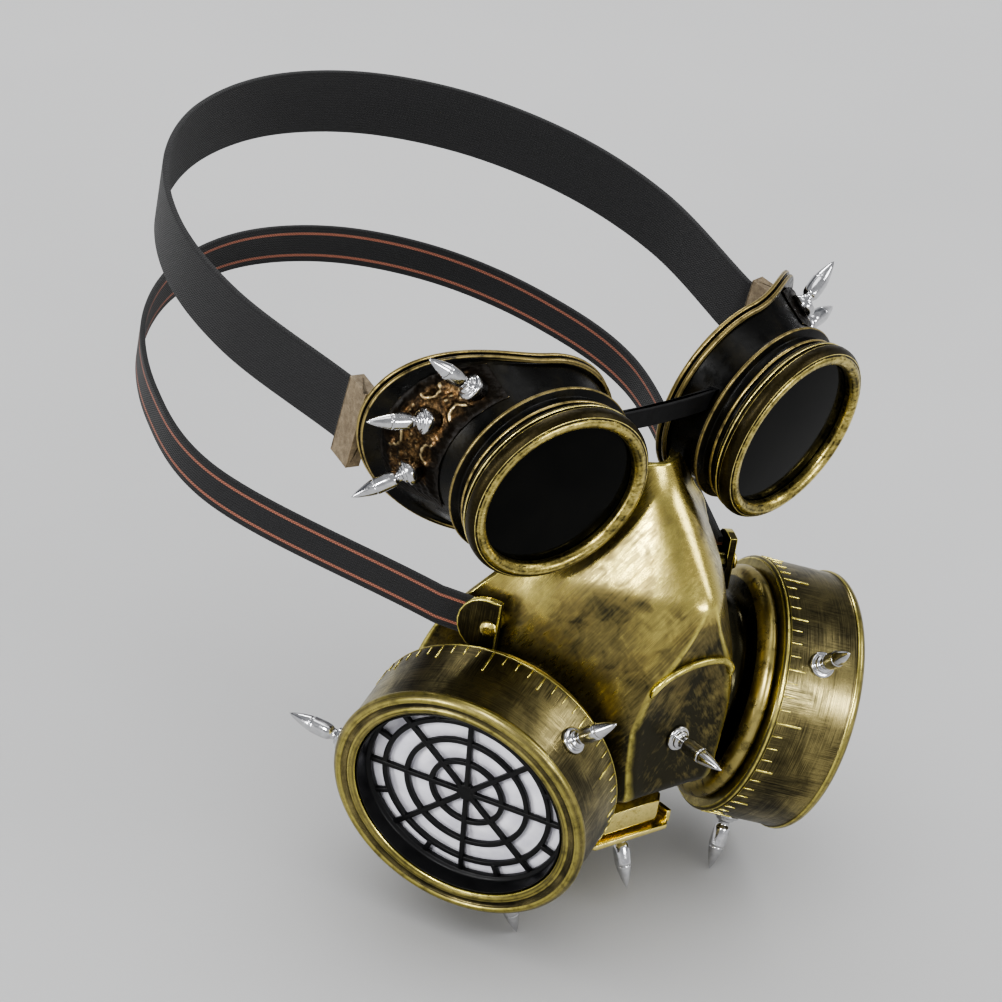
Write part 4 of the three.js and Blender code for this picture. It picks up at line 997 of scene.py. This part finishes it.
def head_band(name, node, width, thickness, rise, straight, end_frame, finish):
    """A flat elastic band round the back of the head, from one end frame to its mirror image."""
    anchor = end_frame.translation.copy()
    end_up = end_frame.col[1].to_3d()
    leave = end_frame.col[2].to_3d()
    half = [anchor + leave * straight]
    for i in range(4):
        angle = i / 4 * math.pi / 2
        lift = rise * (0.4 + 0.6 * math.sin(angle))
        half.append(Vector((80 * math.cos(angle), 96 + 92 * math.sin(angle), anchor.z + lift)))
    other = [Vector((-p.x, p.y, p.z)) for p in reversed(half)]
    curve = spline(half + [Vector((0, 188, anchor.z + rise))] + other)
    path = [anchor + leave * (straight * k / 7) for k in range(7)] + curve
    path += [Vector((-p.x, p.y, p.z)) for p in reversed(path[:7])]
    section = rounded([(-thickness / 2, -width / 2, 0.5), (thickness / 2, -width / 2, 0.5), (thickness / 2, width / 2, 0.5),
                       (-thickness / 2, width / 2, 0.5)], steps=3, closed=True)
    fine = []
    for (a0, b0), (a1, b1) in zip(section, section[1:] + section[:1]):
        steps = max(1, int(abs(b1 - b0) / 0.8))
        fine += [(a0 + (a1 - a0) * k / steps, b0 + (b1 - b0) * k / steps) for k in range(steps)]
    points, strip = [], []
    walked = 0.0
    reach = [0.0]
    for a, b in zip(path, path[1:]):
        reach.append(reach[-1] + (b - a).length)
    for i, here in enumerate(path):
        along = (path[min(i + 1, len(path) - 1)] - path[max(i - 1, 0)]).normalized()
        walked = reach[i]
        near_end = min(walked, reach[-1] - walked)
        turn = min(max((near_end - straight) / 60, 0), 1)
        own_up = Vector((end_up.x * (1 if here.x > 0 else -1), end_up.y, end_up.z)) if abs(here.x) > 1 else end_up
        up = own_up.lerp(Vector((0, 0, 1)), turn)
        up = (up - along * up.dot(along)).normalized()
        out = along.cross(up)
        for across, lift in fine:
            points.append(here + out * across + up * lift)
            strip.append((walked, lift, across))
    count = len(fine)
    faces = grid_faces(len(path), count, wrap_columns=True)
    faces.append(tuple(range(count)))
    faces.append(tuple(range((len(path) - 1) * count, len(path) * count)))
    made = piece(name, [(points, faces)], finish, replaces=(node,), sharp=60)
    stored = made.data.attributes.new("strip", "FLOAT_VECTOR", "POINT")
    stored.data.foreach_set("vector", np.array(strip, dtype=np.float32).ravel())
    return made


def slab(half_width, front, back, low, high, radius, corner=3.0):
    """A level slab with cut front corners and rounded edges."""
    shape = bmesh.new()
    outline = [(-half_width, front + corner), (-half_width + corner, front), (half_width - corner, front),
               (half_width, front + corner), (half_width, back), (-half_width, back)]
    face = shape.faces.new([shape.verts.new((x, y, low)) for x, y in outline])
    raised = bmesh.ops.extrude_face_region(shape, geom=[face])["geom"]
    bmesh.ops.translate(shape, vec=(0, 0, high - low), verts=[v for v in raised if isinstance(v, bmesh.types.BMVert)])
    bmesh.ops.bevel(shape, geom=shape.edges[:], offset=radius, segments=3, profile=0.5, affect="EDGES")
    shape.verts.index_update()
    points = [v.co.copy() for v in shape.verts]
    faces = [tuple(v.index for v in face.verts) for face in shape.faces]
    shape.free()
    return points, faces


def chin_parts():
    """The outlet under the chin: a tall face, a dark slot and a thin lip with upturned ends."""
    top, bottom = -104.5, -114.6
    parts = [slab(13, -17.5, -4.0, top - 6.9, top, 0.7), slab(10, -12.5, -3.0, bottom + 0.3, top - 6.0, 0.3),
             slab(16.4, -19.0, -6.0, bottom, bottom + 1.7, 0.5)]
    for side in (-1, 1):
        place = Matrix.Translation((side * 15.5, -14.4, bottom + 2.6))
        parts.append(block((1.7, 5.2, 4.2), 0.5, place))
    return parts


# Build the half mask
shell_surface = surface_of("mask_shell")
cutters = []
for label, side in SIDES:
    cutter = bpy.data.meshes.new("cutter")
    points, faces = cup_cutter(side, GAP)
    matrix = eye_seat(side)
    cutter.from_pydata([matrix @ Vector(p) * MM for p in points], [], faces)
    finish_mesh(cutter, 180)
    cutters.append(bpy.data.objects.new("cutter", cutter))

shell_mesh = bpy.data.meshes.new("shell_base")
points, faces = shell_parts()
shell_mesh.from_pydata([Vector(p) * MM for p in points], [], faces)
finish_mesh(shell_mesh, 180)
shell_base = bpy.data.objects.new("shell_base", shell_mesh)
bpy.context.scene.collection.objects.link(shell_base)
for cutter in cutters:
    bpy.context.scene.collection.objects.link(cutter)
    cut = shell_base.modifiers.new("seat", "BOOLEAN")
    cut.operation = "DIFFERENCE"
    cut.solver = "EXACT"
    cut.object = cutter
cut_mesh = bpy.data.meshes.new_from_object(shell_base.evaluated_get(bpy.context.evaluated_depsgraph_get()))
shell_part = ([v.co / MM for v in cut_mesh.vertices], [tuple(p.vertices) for p in cut_mesh.polygons])
for spare in [shell_base, *cutters]:
    bpy.data.objects.remove(spare)
# The shell's tone is painted light: a highlight over the nose and ridge, shade on the shield and low on the cheeks.
piece("half_mask_shell", [shell_part, arch_part()], shell_brass, ("mask_shell",), bright=shield_line,
      tone=shell_painted_light)

for label, side in SIDES:
    seat = drum_seat(side)
    piece(f"drum_{label}", [drum_part(), *tick_parts()], drum_brass, (f"canister_body_{label}",), seat)
    piece(f"grill_{label}", grill_parts(), grill_black, (f"canister_grill_{label}",), seat)
    piece(f"filter_{label}", [filter_part()], felt, (f"filter_disc_{label}",), seat)
    # The collar's crest gets a painted highlight in gold through its edge attribute.
    piece(f"stepped_collar_{label}", [collar_part(side, shell_surface)], collar_black,
          (f"collar_{label}",), seat, bright=collar_painted_highlight)
    drum_surface = surface_of(f"canister_body_{label}")
    for i, (turn, along) in enumerate(((46, 12), (163, 13), (277, 20.5))):
        angle = side * math.radians(turn)
        outward = Vector((math.cos(angle), math.sin(angle), 0))
        place = seat @ frame_along(outward * (RADIUS + GAP) + Vector((0, 0, along)), outward, (0, 0, 1))
        piece(f"drum_stud_{label}_{i + 1}", [stud_part(17, place, drum_surface)], chrome,
              (f"canister_spike_{label}_{i + 1}",), place)
    ear = softened(f"strap_ear_{label}", 0.5)
    piece(f"ear_{label}", [ear], drum_brass, (f"strap_ear_{label}",), sharp=50,
          tone=lambda p: -0.5)
    rivet = softened(f"ear_rivet_{label}", 0.25, angle=10)
    piece(f"rivet_{label}", [rivet], trim_brass, (f"ear_rivet_{label}",), sharp=60)

piece("chin_block", chin_parts(), trim_brass, ("chin_outlet",), sharp=50, tone=lambda p: 0.95)
chin_place = frame_along((0, front_at(74) - GAP, -74), (0, -1, 0), (1, 0, 0))
piece("chin_stud", [stud_part(19, chin_place, shell_surface)], chrome, ("chin_spike",), chin_place)
under = math.radians(27)
under_place = frame_along((0, -13.5, -114.9), (0, -math.sin(under), -math.cos(under)), (1, 0, 0))
piece("under_chin_stud", [stud_part(17, under_place, surface_of("chin_outlet"))], chrome,
      ("under_chin_spike",), under_place)

# Build the goggles
for label, side in SIDES:
    seat = eye_seat(side)
    piece(f"cup_{label}", [cup_part(side)], cup_black, (f"eyecup_{label}",), seat)
    piece(f"bezel_{label}", [bezel_part()], trim_brass, (f"eye_bezel_{label}",), seat, tone=bezel_tone,
          bright=bezel_wear)
    piece(f"dark_lens_{label}", [lens_part()], lens_black, (f"lens_{label}",), seat)
    piece(f"vent_{label}", [vent_part(side)], panel_brass, (f"vent_panel_{label}",), seat,
          bright=lambda p, side=side: -3 * vent_border(side, p), tone=lambda p, side=side: -2.6 * vent_border(side, p))
    panel = surface_of(f"vent_panel_{label}")
    for i, (foot, lean) in enumerate(((-12, -32), (18, -1), (46, 33))):
        root = cup_point(side, math.radians(foot), 0.48, 0.45 + 1.2 + GAP)
        tip = cup_ring(side, math.radians(lean), 1, math.tan(math.radians(10)))
        place = seat @ frame_along(root, tip, (0, 0, 1))
        piece(f"goggle_stud_{label}_{i + 1}", [stud_part(17, place, panel)], chrome,
              (f"goggle_spike_{label}_{i + 1}",), place)
    piece(f"strap_plate_{label}", [softened(f"strap_socket_{label}", 0.5)], strap_plate,
          (f"strap_socket_{label}",), sharp=50)

piece("nose_band", [softened("goggle_bridge", 0.5)], band_black, ("goggle_bridge",), sharp=50)


# Straps

def ear_end():
    """The mask strap's end frame behind the left ear, from the CAD ear's own place."""
    row = shell_row(SHELL_ROWS[6], 1, 5, 3)
    inner, outer = row[-4], row[-2]
    middle = inner.lerp(outer, 0.5) + Vector((0, 0, 2))
    along = outer - inner
    along.z = 0
    along.normalize()
    ear = frame_along(middle, (along.y, -along.x, 0), (0, 0, 1))
    stand = 1.6 + LIP_FLARE + GAP * 2
    start = Matrix((Vector((0, 0, 1)), Vector((1, 0, 0)), Vector((0, -1, 0)))).transposed().to_4x4()
    start.translation = Vector((0, 1.5 - 2.4 - GAP * 2, stand - GAP - 0.8))
    return ear @ start


def socket_end():
    turn = math.radians(-5)
    rim = cup_point(1, turn, 1)
    foot = Vector((rim.x + RIM_LIP - 2.4, rim.y, rim.z - GAP))
    socket = frame_along(foot, (0, 0, -1), (-1, 0, 0))
    return eye_seat(1) @ socket @ Matrix.Translation((0, 0, 9 - 6 + GAP * 2))


head_band("head_strap", "mask_strap", 12, 1.6, 22, 14, ear_end(), striped_elastic)
head_band("goggle_band", "goggle_strap", 20, 1.8, 16, 8, socket_end(), elastic)


# Stage, camera and light

floor_mesh = bpy.data.meshes.new("floor")
floor_height = -0.1368
reach = 60
floor_mesh.from_pydata([(x * reach, y * reach, floor_height) for x, y in ((-1, -1), (1, -1), (1, 1), (-1, 1))], [],
                       [(0, 1, 2, 3)])
floor = bpy.data.objects.new("floor", floor_mesh)
bpy.context.scene.collection.objects.link(floor)
pale = Finish("pale_floor")
pale.place = pale.node("ShaderNodeTexCoord").outputs["Object"]
pale.set("Base Color", pale.ramp(pale.noise(6.0, detail=3), (0.3, (0.60, 0.60, 0.60)), (0.7, (0.63, 0.63, 0.63))))
pale.set("Roughness", 0.75)
floor.data.materials.append(pale.material)

IMAGE = 1002
CAMERA = Vector((-0.9555, -0.928, 0.706))
RIGHT, UP, TOWARDS = (Vector(v) for v in ((0.745, -0.646, 0.170), (0.198, 0.457, 0.867), (-0.637, -0.612, 0.468)))


def camera_frame(aim):
    """The photograph's viewpoint and tilt, turned to look at one point."""
    back = (CAMERA - aim).normalized()
    right = (RIGHT - back * RIGHT.dot(back)).normalized()
    return Matrix((right, back.cross(right), back)).transposed()


def aim_and_lens(points, fill):
    aim = Vector((0, 0.02, -0.05))
    for _ in range(6):
        turn = camera_frame(aim).transposed()
        seen = [turn @ (p - CAMERA) for p in points]
        across = [(p.x / -p.z, p.y / -p.z) for p in seen]
        lows = [min(a[i] for a in across) for i in (0, 1)]
        highs = [max(a[i] for a in across) for i in (0, 1)]
        depth = (CAMERA - aim).length
        frame_now = camera_frame(aim)
        aim = aim + frame_now.col[0] * ((lows[0] + highs[0]) / 2 * depth) + frame_now.col[1] * ((lows[1] + highs[1]) / 2 * depth)
    spread = max(highs[0] - lows[0], highs[1] - lows[1])
    return aim, 36 * fill / spread


corners = [v.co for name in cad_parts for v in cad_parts[name].data.vertices]
aim, lens = aim_and_lens(corners, 0.86)
camera_data = bpy.data.cameras.new("camera")
camera_data.lens = lens
camera_data.sensor_width = 36
camera_data.sensor_fit = "HORIZONTAL"
camera_data.clip_end = 50
camera = bpy.data.objects.new("camera", camera_data)
pose = camera_frame(aim).to_4x4()
pose.translation = CAMERA
camera.matrix_world = pose
bpy.context.scene.collection.objects.link(camera)
bpy.context.scene.camera = camera


def shine_on(light, receivers):
    """Limit what a light falls on."""
    group = bpy.data.collections.new(f"{light.name}_receivers")
    for receiver in receivers:
        group.objects.link(receiver)
    light.light_linking.receiver_collection = group


def sun(name, power, turn, receivers=()):
    """A wide, even sky from one direction."""
    data = bpy.data.lights.new(name, "SUN")
    data.energy = power
    data.angle = math.radians(120)
    made = bpy.data.objects.new(name, data)
    made.matrix_world = Matrix.Rotation(math.radians(turn), 4, "X")
    bpy.context.scene.collection.objects.link(made)
    if receivers:
        shine_on(made, receivers)


def lamp(name, place, target, size, power, colour=(1, 1, 1)):
    data = bpy.data.lights.new(name, "AREA")
    data.shape = "RECTANGLE"
    data.size, data.size_y = size
    data.energy = power
    data.color = colour
    made = bpy.data.objects.new(name, data)
    way = (Vector(place) - Vector(target)).normalized()
    side_way = Vector((0, 0, 1)).cross(way).normalized()
    turn = Matrix((side_way, way.cross(side_way), way)).transposed().to_4x4()
    turn.translation = Vector(place)
    made.matrix_world = turn
    bpy.context.scene.collection.objects.link(made)
    shine_on(made, PIECES)


def around(turn, rise, distance):
    """A place seen from the mask at an azimuth from +X and an elevation, in degrees."""
    turn, rise = math.radians(turn), math.radians(rise)
    level = distance * math.cos(rise)
    return level * math.cos(turn), level * math.sin(turn), distance * math.sin(rise)


CENTRE = (0, 0, -0.03)
lamp("streak", around(-153, 36, 1.6), CENTRE, (0.12, 0.4), 12)
lamp("low", around(178, 5, 1.5), CENTRE, (0.3, 0.9), 13)
lamp("side", around(-34, 36, 1.6), CENTRE, (0.55, 0.5), 6.5)
lamp("front", around(-86, 20, 1.7), CENTRE, (0.75, 0.35), 12)
lamp("back", around(70, 48, 1.9), CENTRE, (0.9, 0.4), 14)
lamp("top", (-0.1, 0.1, 1.8), (0, 0.05, -0.05), (0.9, 0.9), 5)
sun("sky", 0.6, 12)
sun("floor_wash", 2.7, 0, [floor])
world = bpy.data.worlds.new("studio")
world.use_nodes = True
sky_tree = world.node_tree
height = sky_tree.nodes.new("ShaderNodeSeparateXYZ")
sky_tree.links.new(sky_tree.nodes.new("ShaderNodeTexCoord").outputs["Generated"], height.inputs[0])
fade = sky_tree.nodes.new("ShaderNodeValToRGB")
fade.color_ramp.elements[0].position = 0.1
fade.color_ramp.elements[0].color = (0.64, 0.64, 0.65, 1)
fade.color_ramp.elements[1].position = 0.45
fade.color_ramp.elements[1].color = (0.14, 0.145, 0.155, 1)
sky_tree.links.new(height.outputs[2], fade.inputs[0])
sky_tree.links.new(fade.outputs[0], sky_tree.nodes["Background"].inputs["Color"])
bpy.context.scene.world = world
bpy.context.scene.view_settings.look = "AgX - Medium High Contrast"
